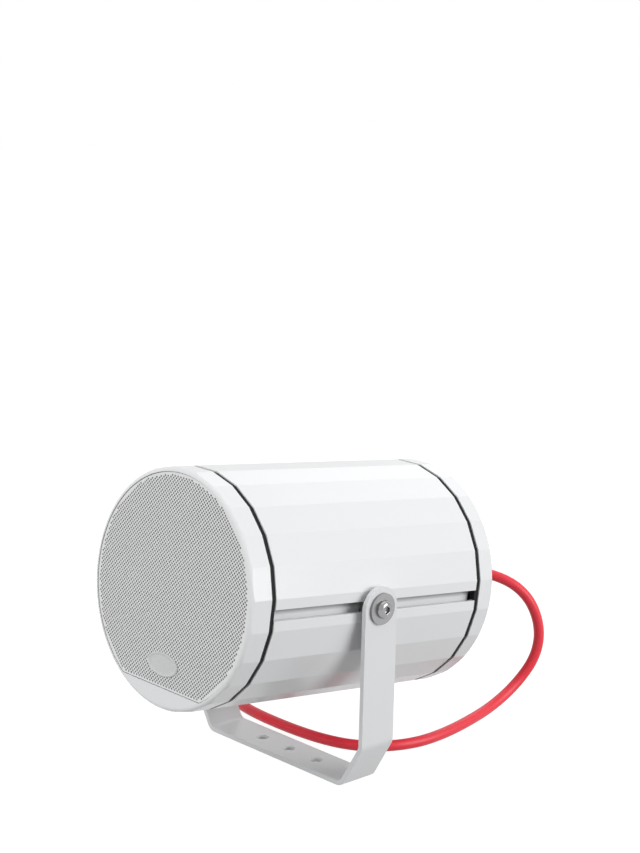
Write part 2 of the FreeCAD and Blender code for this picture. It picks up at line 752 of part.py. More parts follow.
def make_driver_spider():
    """Corrugated disc that centres the voice coil on the basket's ledge."""
    waves = 6
    width = f"({LEDGE_RADIUS} - {COIL_OUTER})"
    front = []
    for number in range(waves + 1):
        lift = "spider_wave" if number % 2 else "0"
        front.append((f"ledge_depth - spider_sheet - {lift}", f"{COIL_OUTER} + {width} * {number} / {waves}"))
    rim = f"({BASKET_STEP} - basket_sheet * 2)"
    front.append(("ledge_depth - spider_sheet", rim))
    back = [(f"{axial} + spider_sheet", radial) for axial, radial in front[::-1]]
    return node(turned("driver_spider", front + back, along=BAFFLE_FRONT), "driver_spider")


def make_voice_coil():
    """Former with its winding in the magnet's gap."""
    end = f"({TOP_PLATE_BACK} + coil_reach)"
    start = "(basket_depth - coil_reach)"
    neck = "(neck_depth - cone_sheet * 3)"
    points = [(neck, "coil_radius"), (end, "coil_radius"), (end, COIL_WOUND), (start, COIL_WOUND),
              (start, COIL_OUTER), (neck, COIL_OUTER)]
    return node(turned("voice_coil", points, along=BAFFLE_FRONT), "voice_coil")


def make_motor():
    """Top plate, ring magnet and yoke with its pole."""
    node(tube("magnet_top_plate", "basket_depth", TOP_PLATE_BACK, POLE_GAP, "top_plate_radius", BAFFLE_FRONT),
         "magnet_top_plate")
    node(tube("magnet_ring", TOP_PLATE_BACK, MAGNET_BACK, "magnet_bore", "magnet_radius", BAFFLE_FRONT),
         "magnet_ring")
    pole = "(coil_radius - air_gap)"
    back = f"({MAGNET_BACK} + yoke_thickness)"
    points = [("basket_depth", "0"), ("basket_depth", pole), (MAGNET_BACK, pole),
              (MAGNET_BACK, "top_plate_radius"), (back, "top_plate_radius"), (back, "0")]
    node(turned("magnet_yoke", points, along=BAFFLE_FRONT), "magnet_yoke")


def make_small_screws():
    """Screws of the driver, the front ring, the rear cap and the mounting plate."""
    driver = small_screw("driver_screw", "(basket_sheet + baffle_thickness)", DRIVER_OFFSET,
                         f"{BAFFLE_FRONT} - basket_sheet", 1)
    node(four("driver_screws", driver), "driver_screws")
    ring = small_screw("ring_screw", "(baffle_thickness + gasket_thickness + screw_grip)", PORT_OFFSET,
                       BAFFLE_FRONT, 1)
    node(four("front_ring_screws", ring), "front_ring_screws")
    cap = small_screw("cap_screw", "(cap_length - counterbore_depth + gasket_thickness + screw_grip)",
                      PORT_OFFSET, f"{CAP_BACK} - counterbore_depth", -1)
    node(four("rear_cap_screws", cap), "rear_cap_screws")
    points = [("-small_head_height", "0"), ("-small_head_height", "small_head_radius * 0.7"),
              ("-small_head_height / 2", "small_head_radius"), ("0", "small_head_radius"),
              ("0", "small_screw_radius"), ("screw_grip", "small_screw_radius"), ("screw_grip", "0")]
    plate = turned("plate_screw", points, along=PLATE_FRONT, across="post_spacing / 2")
    node(pair("plate_screws", plate), "plate_screws")


def make_mounting_plate():
    """Sheet on the rear cap's posts, with a window for the transformer's winding."""
    body = new_body("mounting_plate", along=PLATE_FRONT)
    section = new_sketch(body, "XZ_Plane", "section")
    bar = "(post_spacing / 2 + plate_bar_margin)"
    half = "(core_width / 2)"
    low = "(-plate_bar_height / 2)"
    high = "(plate_bar_height / 2)"
    top = "(core_rise + core_height / 2 + plate_top_margin)"
    outline(section, [(f"-{bar}", low), (bar, low), (bar, high), (half, high), (half, top), (f"-{half}", top),
                      (f"-{half}", high), (f"-{bar}", high)])
    pad(body, section, "plate_thickness", reverse=True)
    openings = new_sketch(body, "XZ_Plane", "openings")
    wide = "(core_width / 2 - core_limb)"
    tall = "(core_height / 2 - core_limb)"
    rectangle(openings, f"-{wide}", wide, f"core_rise - {tall}", f"core_rise + {tall}")
    circle(openings, SCREW_HOLE, "post_spacing / 2")
    circle(openings, SCREW_HOLE, "-post_spacing / 2")
    pocket(body, openings)
    return node(body, "mounting_plate")


def make_transformer():
    """Laminated core on the plate, and the winding round its middle limb."""
    start = f"({PLATE_FRONT} - core_depth)"
    tall = "(core_height - 2 * core_limb)"
    wide = "(core_width / 2 - 2 * core_limb)"
    block = box("core_block", "core_width", "core_depth", "core_height", along=start, up=CORE_CENTRE)
    window = box("core_window", wide, "core_depth", tall, across=f"(core_limb + {wide} / 2)", along=start,
                 up=CORE_CENTRE)
    node(cut("transformer_core", block, pair("core_windows", window)), "transformer_core")
    length = "(core_depth + 2 * winding_overhang)"
    coil = box("winding_block", "(core_width - 2 * core_limb - 2 * winding_clearance)", length,
               f"({tall} - 2 * winding_clearance)", along=f"{start} - winding_overhang", up=CORE_CENTRE)
    limb = box("winding_hole", "(2 * core_limb + 2 * winding_clearance)",
               "(core_depth + 2 * winding_clearance)", tall, along=f"{start} - winding_clearance",
               up=CORE_CENTRE)
    node(cut("transformer_winding", coil, limb), "transformer_winding")


def make_terminals():
    """Terminal block with two entries for the cable's cores, and a thermal fuse beside it."""
    block = box("terminal_body", "terminal_length", "terminal_depth", "terminal_height", along=PLATE_BACK)
    entry = cylinder("terminal_hole", "core_radius + screw_clearance", "terminal_entry",
                     across="core_spacing / 2", along=f"{PLATE_BACK} + terminal_depth - terminal_entry")
    node(cut("terminal_block", block, pair("terminal_holes", entry)), "terminal_block")
    fuse_bar = cylinder("thermal_fuse", "fuse_radius", "fuse_length", across="fuse_offset",
                        along=f"{PLATE_BACK} + fuse_radius", turn=ALONG_X)
    node(fuse_bar, "thermal_fuse")


def make_gland():
    """Cable gland in the cap: body, lock nut inside, seal and dome nut outside."""
    hexagon = prism("gland_hexagon", "6", "gland_hex", "gland_hex_length", along=CAP_BACK)
    rear = "(cap_plate + lock_nut_length)"
    thread = cylinder("gland_thread_bar", "gland_thread", f"{rear} + gland_hex_length / 2",
                      along=f"{CAP_BACK} - {rear}")
    spigot = cylinder("gland_spigot", "gland_front_thread", "gland_hex_length + gland_front_length",
                      along=CAP_BACK)
    bore = cylinder("gland_through", "gland_bore", f"{rear} + gland_hex_length + gland_front_length",
                    along=f"{CAP_BACK} - {rear}")
    node(cut("gland_body", fuse("gland_blank", [hexagon, thread, spigot]), bore), "gland_body")
    nut = prism("lock_nut_blank", "6", "gland_hex", "lock_nut_length",
                along=f"{CAP_INSIDE} - lock_nut_length")
    nut_bore = cylinder("lock_nut_bore", "gland_thread + thread_clearance", "lock_nut_length",
                        along=f"{CAP_INSIDE} - lock_nut_length")
    node(cut("gland_lock_nut", nut, nut_bore), "gland_lock_nut")
    start = "(gland_hex_length + gland_clearance)"
    end = f"({start} + dome_length)"
    inner = "(gland_front_thread + thread_clearance)"
    roof = "(gland_hex_length + gland_front_length + gland_clearance)"
    hole = "(cable_radius + gland_clearance)"
    node(turned("gland_dome_nut", [
        (start, inner), (roof, inner), (roof, hole), (end, hole), (end, "dome_radius - dome_round"),
        (f"{end} - dome_round * 0.3", "dome_radius - dome_round * 0.3"),
        (f"{end} - dome_round", "dome_radius"), (start, "dome_radius")], along=CAP_BACK), "gland_dome_nut")
    seal_end = "(gland_hex_length + gland_front_length)"
    node(tube("gland_seal", f"{seal_end} - seal_length", seal_end, "cable_radius + thread_clearance",
              "gland_bore - thread_clearance", CAP_BACK), "gland_seal")


def make_bracket():
    """Steel strip bent into a U: round leg tops at the pivots, sloped knees and three base holes."""
    body = new_body("bracket", up="0")
    profile = new_sketch(body, "XZ_Plane", "profile")
    slope = f"atan2(knee_height; {LEG_OUTER} - base_half)"
    foot = f"(base_half - strip_sheet * tan({slope} / 2))"
    knee = f"(knee_height + strip_sheet * tan((90deg - {slope}) / 2))"
    outer = [("base_half", "0"), (LEG_OUTER, "knee_height"), (LEG_OUTER, "axis_height")]
    inner = [(LEG_INNER, "axis_height"), (LEG_INNER, knee), (foot, "strip_sheet")]
    right = outer + inner
    left = [(f"-{across}", up) for across, up in right[::-1]]
    outline(profile, right + left)
    pad(body, profile, "strip_width", middle=True)
    doc.recompute()
    bend(body, [("base_half", "0"), (LEG_OUTER, "knee_height")], "bend_radius + strip_sheet")
    bend(body, [(foot, "strip_sheet"), (LEG_INNER, knee)], "bend_radius")
    tops = new_sketch(body, "YZ_Plane", "right_top", offset=LEG_INNER)
    circle(tops, "strip_width / 2", "0", "axis_height")
    pad(body, tops, "strip_sheet")
    tops = new_sketch(body, "YZ_Plane", "left_top", offset=f"-{LEG_OUTER}")
    circle(tops, "strip_width / 2", "0", "axis_height")
    pad(body, tops, "strip_sheet")
    pivots = new_sketch(body, "YZ_Plane", "pivot_holes")
    circle(pivots, "pivot_radius + pivot_clearance", "0", "axis_height")
    pocket(body, pivots)
    holes = new_sketch(body, "XY_Plane", "base_holes")
    for across in ("-base_pitch", "0", "base_pitch"):
        circle(holes, "base_hole / 2", across)
    pocket(body, holes)
    return node(body, "bracket", tilts=False)


def bend(body, corners, radius):
    """Round the bracket's bends that run along Y through the given corners and their mirror images."""
    base = body.Tip
    names = []
    for number, edge in enumerate(base.Shape.Edges, start=1):
        middle = edge.CenterOfMass
        along_y = abs(edge.tangentAt(edge.FirstParameter).y) > 0.99
        hit = any(abs(abs(middle.x) - value(across)) < 0.01 and abs(middle.z - value(up)) < 0.01
                  for across, up in corners)
        if along_y and hit:
            names.append(f"Edge{number}")
    feature = body.newObject("PartDesign::Fillet", f"{base.Name}_bend")
    feature.Base = (base, names)
    bind(feature, Radius=radius)
    doc.recompute()


def make_pivots():
    """Socket screws, washers, spacers and slot nuts that clamp the housing between the legs."""
    tip = f"({HEAD_SEAT} + head_height)"
    points = [(NUT_BACK, "0"), (NUT_BACK, "pivot_radius"), (HEAD_SEAT, "pivot_radius"),
              (HEAD_SEAT, "head_radius"), (f"{tip} - head_round", "head_radius"),
              (tip, "head_radius - head_round"), (tip, "0")]
    blank = turned("screw_blank", points, role="XZ_Plane")
    socket = prism("screw_socket", "6", "socket_flats / 2 / cos(30deg)", "socket_depth",
                   across=f"{tip} - socket_depth", turn=ALONG_X)
    node(pair("pivot_screws", cut("pivot_screw", blank, socket)), "pivot_screws")
    washer = tube("pivot_washer", LEG_OUTER, HEAD_SEAT, "pivot_radius + pivot_clearance / 2", "washer_radius",
                  role="XZ_Plane")
    node(pair("pivot_washers", washer), "pivot_washers")
    spacer = tube("spacer_washer", FLAT, LEG_INNER, "pivot_radius + pivot_clearance / 2", "washer_radius",
                  role="XZ_Plane")
    node(pair("spacer_washers", spacer), "spacer_washers")
    block = box("nut_block", "nut_sheet", "nut_length", "slot_width - 2 * nut_clearance",
                across=f"({NUT_FRONT} - nut_sheet / 2)", along="-nut_length / 2")
    thread = cylinder("nut_thread", "pivot_radius + thread_clearance", "nut_sheet", across=NUT_BACK,
                      turn=ALONG_X)
    node(pair("slot_nuts", cut("slot_nut", block, thread)), "slot_nuts")


def cable_path(points):
    """Straight runs joined by tangent arcs, with the bend radii that the runs allow."""
    edges = []
    radii = []
    start = points[0]
    for before, corner, after in zip(points, points[1:], points[2:]):
        back = (before - corner).normalize()
        forth = (after - corner).normalize()
        half_turn = (math.pi - back.getAngle(forth)) / 2
        reach = BEND_SHARE * min(before.distanceToPoint(corner), after.distanceToPoint(corner))
        radius = reach / math.tan(half_turn)
        middle = (back + forth).normalize()
        centre = corner + middle * (radius / math.cos(half_turn))
        enter = corner + back * reach
        leave = corner + forth * reach
        edges.append(Part.makeLine(start, enter))
        edges.append(Part.Arc(enter, centre - middle * radius, leave).toShape())
        start = leave
        radii.append(round(radius, 1))
    edges.append(Part.makeLine(start, points[-1]))
    return Part.Wire(edges), radii


def make_cable():
    """Cable swept along its route, the two cores at its inner end and the bared tails at its free end."""
    rear = value(CAP_BACK)
    rest = value("cable_radius + cable_floor_gap")
    pivot = FreeCAD.Vector(0, 0, value("axis_height"))
    along = FreeCAD.Rotation(FRONT_UP, value("rest_tilt")).multVec(FreeCAD.Vector(0, 1, 0))
    entry = pivot + along * value(f"{CAP_INSIDE} - cable_inside")
    points = [entry, pivot + along * (rear + value("cable_lead"))]
    points += [FreeCAD.Vector(across, rear + behind, rest + lift) for across, behind, lift in CABLE_POINTS]
    path, radii = cable_path(points)
    ring = Part.Wire(Part.makeCircle(value("cable_radius"), entry, along))
    cable = doc.addObject("Part::Feature", "signal_cable")
    cable.Shape = path.makePipeShell([ring], True, False)
    section = math.pi * value("cable_radius") ** 2
    print("cable bend radii", radii, "length", round(path.Length, 1),
          "volume ratio", round(cable.Shape.Volume / (section * path.Length), 4))
    node(cable, "signal_cable", tilts=False)
    inner_end = f"({PLATE_BACK} + terminal_depth - terminal_entry)"
    core = cylinder("cable_core", "core_radius", f"{CAP_INSIDE} - cable_inside - {inner_end}",
                    across="core_spacing / 2", along=inner_end)
    node(pair("cable_cores", core), "cable_cores")
    ahead = (points[-1] - points[-2]).normalize()
    aside = ahead.cross(FreeCAD.Vector(0, 0, 1)) * (value("core_spacing") / 2)
    tails = doc.addObject("Part::Feature", "cable_tails")
    tails.Shape = Part.makeCompound([
        Part.makeCylinder(value("core_radius"), value("tail_length"), points[-1] + side, ahead)
        for side in (aside, -aside)])
    node(tails, "cable_tails", tilts=False)


make_body_shell()
make_front_ring()
make_grille()
make_badge()
make_grille_cloth()
make_gasket("front_gasket", RING_BACK)
make_gasket("rear_gasket", SHELL_BACK)
make_rear_cap()
make_driver_basket()
make_driver_surround()
make_driver_cone()
make_dust_cap()
make_driver_spider()
make_voice_coil()
make_motor()
make_small_screws()
make_mounting_plate()
make_transformer()
make_terminals()
make_gland()
make_bracket()
make_pivots()
make_cable()
doc.recompute()

faults = [item.Name for item in doc.Objects if {"Invalid", "Error"} & set(item.State)]
faults += [item.Label for item in nodes if item.Shape.isNull() or not item.Shape.isValid()]
if faults:
    raise RuntimeError(f"these objects failed: {faults}")
os.makedirs("parts", exist_ok=True)
for item in nodes:
    item.Shape.exportStep(f"parts/{item.Label}.step")
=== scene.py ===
"""Looks of a bracket-mounted sound projector: stage, cable, housing, bracket and inner works.

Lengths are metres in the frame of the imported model: the bracket's base centre is the origin, the
grille faces -Y and +Z is up. The housing is tilted at rest, so its pieces are worked out level and
then turned about the pivots.
"""

import json
import math

import bpy
import numpy as np
from mathutils import Matrix, Vector


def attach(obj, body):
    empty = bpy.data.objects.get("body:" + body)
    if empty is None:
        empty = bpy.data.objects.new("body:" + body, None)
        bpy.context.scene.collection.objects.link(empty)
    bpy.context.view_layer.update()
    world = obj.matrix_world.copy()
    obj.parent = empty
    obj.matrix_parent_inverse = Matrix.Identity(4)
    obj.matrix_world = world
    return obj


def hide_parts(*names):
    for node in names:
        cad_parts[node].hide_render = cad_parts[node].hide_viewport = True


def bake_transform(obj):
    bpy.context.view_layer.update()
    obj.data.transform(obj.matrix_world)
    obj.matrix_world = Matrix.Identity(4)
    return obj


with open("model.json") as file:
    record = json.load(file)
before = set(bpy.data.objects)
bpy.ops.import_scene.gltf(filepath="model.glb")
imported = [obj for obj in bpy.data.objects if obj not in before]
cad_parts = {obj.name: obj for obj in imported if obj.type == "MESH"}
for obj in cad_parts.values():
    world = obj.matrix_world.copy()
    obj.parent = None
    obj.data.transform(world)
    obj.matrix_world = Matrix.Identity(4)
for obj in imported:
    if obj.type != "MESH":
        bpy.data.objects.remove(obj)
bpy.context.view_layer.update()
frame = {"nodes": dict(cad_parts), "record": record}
JOINTS = {joint["name"]: joint for joint in frame["record"]["behaviour"]["joints"]}
PIVOT = np.array(JOINTS["tilt"]["pos_m"])
HOUSING_AXIS = np.array(JOINTS["slot_slide"]["axis"])

bl_info = {
    "name": "Sound projector looks",
    "version": (1, 0, 0),
    "blender": (4, 5, 0),
    "location": "View3D > Sidebar > Sound projector",
    "description": "Dresses the packed model of a sound projector on its swivel bracket",
    "category": "Object",
}

# Control points of the cable's line, from the mouth of the gland to the free end on the floor.
CABLE_ROUTE = [
    (0.0000, 0.1252, 0.0986),
    (0.0000, 0.1441, 0.0963),
    (0.0378, 0.1759, 0.0869),
    (0.0460, 0.1910, 0.0436),
    (0.0345, 0.1659, 0.0068),
    (0.0494, 0.0881, 0.0036),
    (0.0413, 0.0477, 0.0036),
    (0.0100, 0.0238, 0.0036),
    (-0.0686, 0.0224, 0.0036),
    (-0.1050, 0.0387, 0.0036),
    (-0.1480, 0.0700, 0.0036),
    (-0.1600, 0.1180, 0.0036),
]
# Direction that the first point of a tube's rings leans to; no tube here runs along it.
TUBE_GUIDE = (0.5, -0.1, 0.86)

# Camera fitted to points of the photograph: turns in degrees, lens in millimetres, place in metres.
CAMERA_AZIMUTH = 46.53
CAMERA_ELEVATION = 12.32
CAMERA_ROLL = 1.34
CAMERA_LENS = 83.72
CAMERA_SENSOR = 36.0
CAMERA_PLACE = (0.86439, -0.79895, 0.46769)
CAMERA_CLIP = (0.05, 50.0)

# Soft boxes: name, place, side of the square in metres, power in watts, whether gloss mirrors it.
# The front one's mirror image would burn out the housing's upper facets when seen from behind.
LAMPS = (
    ("lamp_top", (-0.05, 0.20, 1.45), 1.4, 4.5, True),
    ("lamp_right", (1.42, 0.62, 0.61), 1.0, 17.0, True),
    ("lamp_front", (-0.20, -1.65, 0.88), 1.7, 22.0, False),
    ("lamp_back", (-0.60, 1.70, 0.80), 1.4, 4.5, True),
)
LAMP_TARGET = Vector((0.0, 0.0, 0.10))
WORLD_STRENGTH = 0.33
# Floor: half its side, points along a side, drop below the part, strength of its white, and how
# much paler it is where it is seen.
FLOOR_REACH = 4.0
FLOOR_POINTS = 9
FLOOR_DROP = 0.0002
FLOOR_GLOW = 0.93
FLOOR_LIFT = 1.02

# Edges that turn by more than this stay sharp, in degrees.
SHARP_ANGLE = 50.0
# Painted shade on the slots' floor, in shares of a slot's width: half the masked band, and the
# heights above the slot's middle where the painted shade starts and is full. Then the share of the
# paint's tone left under the painted shade.
SLOT_BAND = 0.52
SLOT_PAINTED_SHADE_HEIGHTS = (-0.16, 0.12)
SLOT_PAINTED_SHADE_TONE = 0.45
# Share of the way to the badge's edge that is flat.
BADGE_FIELD = 0.80


def colour(name, description, red, green, blue):
    """Colour property with a linear default."""
    return bpy.props.FloatVectorProperty(
        name=name, description=description, subtype="COLOR", size=3, min=0.0, max=1.0,
        default=(red, green, blue),
    )


def length(name, description, default):
    """Length property in metres."""
    return bpy.props.FloatProperty(
        name=name, description=description, subtype="DISTANCE", unit="LENGTH", precision=5, min=0.0,
        default=default,
    )


class ProjectorSizes(bpy.types.PropertyGroup):
    """Sizes of the pieces that are made here."""

    grille_pitch: length("Grille pitch", "Distance between holes along a diagonal row", 0.00180)
    grille_hole: length("Grille hole", "Diameter of one hole of the grille", 0.00142)
    cable_diameter: length("Cable diameter", "Outside diameter of the cable's sheath", 0.0070)
    cable_handover: length("Cable handover", "Height where the cable's two runs meet", 0.0750)
    core_diameter: length("Core diameter", "Outside diameter of one core of the cable", 0.0024)
    core_spacing: length("Core spacing", "Distance between the two cores", 0.0036)
    core_length: length("Core length", "Insulated length beyond the sheath", 0.0080)
    bare_length: length("Bared length", "Length of bare strands at the end of each core", 0.0060)
    slot_lip: length("Slot lip", "Thickness of the lips at the slots' mouths", 0.0022)
    slot_depth: length("Slot depth", "Depth of the slots behind their lips", 0.0040)
    slot_width: length("Slot width", "Width of the slots behind their lips", 0.0106)
    screw_shank: length("Screw shank", "Radius of a pivot screw's shank", 0.0030)
    screw_head: length("Screw head", "Height of a pivot screw's head", 0.0034)
    screw_socket: length("Screw socket", "Width across the flats of their sockets", 0.0042)
    badge_bead: length("Badge bead", "Height of the bead that runs round the badge", 0.00045)
    dome_flutes: bpy.props.IntProperty(
        name="Dome flutes", description="Number of grip flutes round the gland's dome nut",
        min=6, max=60, default=18,
    )
    flute_depth: length("Flute depth", "How deep the dome nut's flutes are", 0.00055)


class ProjectorColours(bpy.types.PropertyGroup):
    """Colours of the finishes."""

    housing: colour("Housing paint", "Satin white of the housing, ring and cap", 0.80, 0.81, 0.82)
    bracket: colour("Bracket paint", "White of the swivel bracket", 0.76, 0.77, 0.78)
    grille: colour("Grille paint", "White of the perforated sheet", 0.80, 0.805, 0.81)
    badge: colour("Badge plastic", "Plain oval plate", 0.64, 0.645, 0.65)
    rubber: colour("Rubber", "Seals and surround", 0.004, 0.004, 0.005)
    steel: colour("Stainless steel", "Washers, spacers and nuts of the pivots", 0.34, 0.34, 0.345)
    screw: colour("Polished screw", "Pivot screws", 0.34, 0.34, 0.345)
    sheath: colour("Cable sheath", "Red sheath of the cable", 0.90, 0.034, 0.058)
    gland: colour("Gland plastic", "Black nylon of the cable gland", 0.018, 0.018, 0.019)
    floor: colour("Floor", "Plain floor under the part", 0.25, 0.25, 0.25)


def sizes():
    """Sizes of the current scene."""
    return bpy.context.scene.projector_sizes


def colours():
    """Colours of the current scene."""
    return bpy.context.scene.projector_colours


# Meshes


def full_turn(count):
    """Angles that share out one turn evenly."""
    return np.linspace(0.0, 2.0 * math.pi, count, endpoint=False)


def mesh_points(mesh):
    """Places of a mesh's vertices, one row for each."""
    points = np.empty(len(mesh.vertices) * 3)
    mesh.vertices.foreach_get("co", points)
    return points.reshape(-1, 3)


def grid_faces(rows, columns, wrap=False):
    """Quads between neighbouring rows and columns of a grid numbered row by row; wrap joins the
    last column to the first."""
    row = np.arange(rows - 1)[:, None] * columns
    here = np.arange(columns if wrap else columns - 1)[None, :]
    beside = (here + 1) % columns
    corners = (row + here, row + beside, row + columns + beside, row + columns + here)
    return np.stack(corners, axis=-1).reshape(-1, 4)


def enclosed_volume(points, faces):
    """Signed volume inside closed faces: a sixth of the triple product of each face's fan of
    triangles."""
    total = 0.0
    for block in faces:
        corner = points[block]
        for second in range(1, block.shape[1] - 1):
            sides = np.cross(corner[:, second], corner[:, second + 1])
            total += np.einsum("ij,ij->", corner[:, 0], sides) / 6.0
    return total


def solid_object(name, points, faces, smooth=True):
    """Closed mesh at the origin from points and blocks of faces of equal width, turned so that it
    faces outwards."""
    if enclosed_volume(points - points.mean(axis=0), faces) < 0.0:
        faces = [block[:, ::-1] for block in faces]
    mesh = bpy.data.meshes.new(name)
    mesh.from_pydata(points.tolist(), [], [face for block in faces for face in block.tolist()])
    mesh.update()
    mesh.polygons.foreach_set("use_smooth", np.full(len(mesh.polygons), smooth))
    mesh.set_sharp_from_angle(angle=math.radians(SHARP_ANGLE))
    piece = bpy.data.objects.new(name, mesh)
    bpy.context.scene.collection.objects.link(piece)
    return piece


def rest_turn():
    """Matrix whose columns are the directions at rest of the housing's own across, along and up."""
    across = np.array((1.0, 0.0, 0.0))
    return np.column_stack((across, HOUSING_AXIS, np.cross(across, HOUSING_AXIS)))


def at_rest(points):
    """Points of the level housing turned about the pivots to the tilt at rest."""
    return (points - PIVOT) @ rest_turn().T + PIVOT


def level_box(node):
    """Lowest and highest corner of a CAD node once the housing is turned back level."""
    level = (mesh_points(frame["nodes"][node].data) - PIVOT) @ rest_turn() + PIVOT
    return level.min(axis=0), level.max(axis=0)


def turned_about_y(profile, angles, centre, ripple):
    """Rings of a closed profile of (along Y, radius) carried round the Y axis: a point at angle a
    lies at radius times (cos a, sin a) from the centre. ripple is a radius to add, one value for
    each profile point and angle."""
    along, radius = np.asarray(profile).T
    radius = radius[:, None] + ripple
    across = centre[0] + radius * np.cos(angles)
    up = centre[2] + radius * np.sin(angles)
    depth = np.broadcast_to(along[:, None], across.shape)
    return np.stack((across, depth, up), axis=-1)


def ring_skin(rings, closed_profile):
    """Points and faces of a surface through rings of equal count; its ends get caps unless the
    profile closes."""
    rows, columns = rings.shape[:2]
    points = rings.reshape(-1, 3)
    if closed_profile:
        faces = grid_faces(rows + 1, columns, wrap=True) % len(points)
        return points, [faces]
    faces = grid_faces(rows, columns, wrap=True)
    first = np.arange(columns)[None, ::-1]
    last = (rows - 1) * columns + np.arange(columns)[None, :]
    return points, [faces, first, last]


def tube_rings(line, radius, sides):
    """Rings of a round tube along a line: each ring lies across the line's direction, and its first
    point leans towards a fixed guide direction that the line never follows. radius is one value, or
    one for each ring and side."""
    forward = np.gradient(line, axis=0)
    forward /= np.linalg.norm(forward, axis=1, keepdims=True)
    guide = np.asarray(TUBE_GUIDE) / np.linalg.norm(TUBE_GUIDE)
    lean = guide - (forward @ guide)[:, None] * forward
    lean /= np.linalg.norm(lean, axis=1, keepdims=True)
    side = np.cross(forward, lean)
    angles = full_turn(sides)[None, :, None]
    spread = np.cos(angles) * lean[:, None, :] + np.sin(angles) * side[:, None, :]
    return line[:, None, :] + np.broadcast_to(radius, spread.shape[:2])[..., None] * spread


# Node groups and materials


def new_group(name, inputs):
    """Node group that reads a vector and named values, and puts out a tone and a height from 0 to
    1."""
    group = bpy.data.node_groups.get(name)
    if group:
        return group, None, None
    group = bpy.data.node_groups.new(name, "ShaderNodeTree")
    group.interface.new_socket("Vector", in_out="INPUT", socket_type="NodeSocketVector")
    for label, default in inputs.items():
        socket = group.interface.new_socket(label, in_out="INPUT", socket_type="NodeSocketFloat")
        socket.default_value = default
    for label in ("Tone", "Height"):
        group.interface.new_socket(label, in_out="OUTPUT", socket_type="NodeSocketFloat")
    return group, group.nodes.new("NodeGroupInput"), group.nodes.new("NodeGroupOutput")


def noise(tree, vector, scale, detail):
    """Noise texture fed by a vector and by a scale socket."""
    texture = tree.nodes.new("ShaderNodeTexNoise")
    texture.inputs["Detail"].default_value = detail
    tree.links.new(vector, texture.inputs["Vector"])
    tree.links.new(scale, texture.inputs["Scale"])
    return texture.outputs["Fac"]


def slow_tone(group, given, result, detail):
    """Feed a group's tone from a slow noise."""
    slow = noise(group, given.outputs["Vector"], given.outputs["Drift"], detail)
    group.links.new(slow, result.inputs["Tone"])


def waves(tree, vector, scale, distortion=0.0):
    """Wave texture fed by a vector and by a scale socket."""
    texture = tree.nodes.new("ShaderNodeTexWave")
    texture.inputs["Distortion"].default_value = distortion
    tree.links.new(vector, texture.inputs["Vector"])
    tree.links.new(scale, texture.inputs["Scale"])
    return texture


def calculated(tree, operation, first, second=0.0):
    """Socket of a sum or comparison of one or two values, each a socket or, for the second, a
    number."""
    node = tree.nodes.new("ShaderNodeMath")
    node.operation = operation
    tree.links.new(first, node.inputs[0])
    if isinstance(second, float):
        node.inputs[1].default_value = second
    else:
        tree.links.new(second, node.inputs[1])
    return node.outputs["Value"]


def ranged(tree, value, start, end, low=0.0, high=1.0):
    """Socket that runs from low to high while a value runs from start to end."""
    node = tree.nodes.new("ShaderNodeMapRange")
    limits = {"From Min": start, "From Max": end, "To Min": low, "To Max": high}
    for label, limit in limits.items():
        node.inputs[label].default_value = limit
    tree.links.new(value, node.inputs["Value"])
    return node.outputs["Result"]


def seen_rays(tree):
    """Socket that is 1 for rays from the camera, off gloss and through glass."""
    path = tree.nodes.new("ShaderNodeLightPath")
    socket = path.outputs["Is Camera Ray"]
    for label in ("Is Glossy Ray", "Is Transmission Ray"):
        socket = calculated(tree, "MAXIMUM", socket, path.outputs[label])
    return socket


def grain_group():
    """Grain of paint, rubber or moulded plastic: a fine noise for height and a slow one for
    tone."""
    group, given, result = new_group("fine_grain", {"Grain": 900.0, "Drift": 12.0})
    if given:
        fine = noise(group, given.outputs["Vector"], given.outputs["Grain"], detail=2.0)
        group.links.new(fine, result.inputs["Height"])
        slow_tone(group, given, result, detail=1.0)
    return group


def brushed_group():
    """Brushed metal: noise drawn out along Y into fine streaks, used for tone and height alike."""
    group, given, result = new_group("brushed_metal", {"Grain": 2500.0, "Drift": 25.0})
    if given:
        stretch = group.nodes.new("ShaderNodeMapping")
        stretch.inputs["Scale"].default_value = (1.0, 0.04, 1.0)
        group.links.new(given.outputs["Vector"], stretch.inputs["Vector"])
        streaks = noise(group, stretch.outputs["Vector"], given.outputs["Grain"], detail=3.0)
        group.links.new(streaks, result.inputs["Height"])
        slow = noise(group, given.outputs["Vector"], given.outputs["Drift"], detail=3.0)
        group.links.new(calculated(group, "MULTIPLY", streaks, slow), result.inputs["Tone"])
    return group


def turned_group():
    """Turned metal: rings about the line through both pivots, with a slow noise for tone."""
    group, given, result = new_group("turned_rings", {"Grain": 1500.0, "Drift": 60.0})
    if given:
        centre = group.nodes.new("ShaderNodeMapping")
        centre.inputs["Location"].default_value = -Vector(PIVOT)
        group.links.new(given.outputs["Vector"], centre.inputs["Vector"])
        rings = waves(group, centre.outputs["Vector"], given.outputs["Grain"], distortion=0.6)
        rings.wave_type = "RINGS"
        rings.rings_direction = "X"
        group.links.new(rings.outputs["Fac"], result.inputs["Height"])
        slow_tone(group, given, result, detail=2.0)
    return group


def banded_group():
    """Stacked or wound layers: straight bands along one axis, roughened by a slow noise."""
    group, given, result = new_group("stacked_bands", {"Grain": 900.0, "Drift": 40.0})
    if given:
        bands = waves(group, given.outputs["Vector"], given.outputs["Grain"], distortion=0.4)
        bands.bands_direction = "Y"
        group.links.new(bands.outputs["Fac"], result.inputs["Height"])
        slow_tone(group, given, result, detail=3.0)
    return group


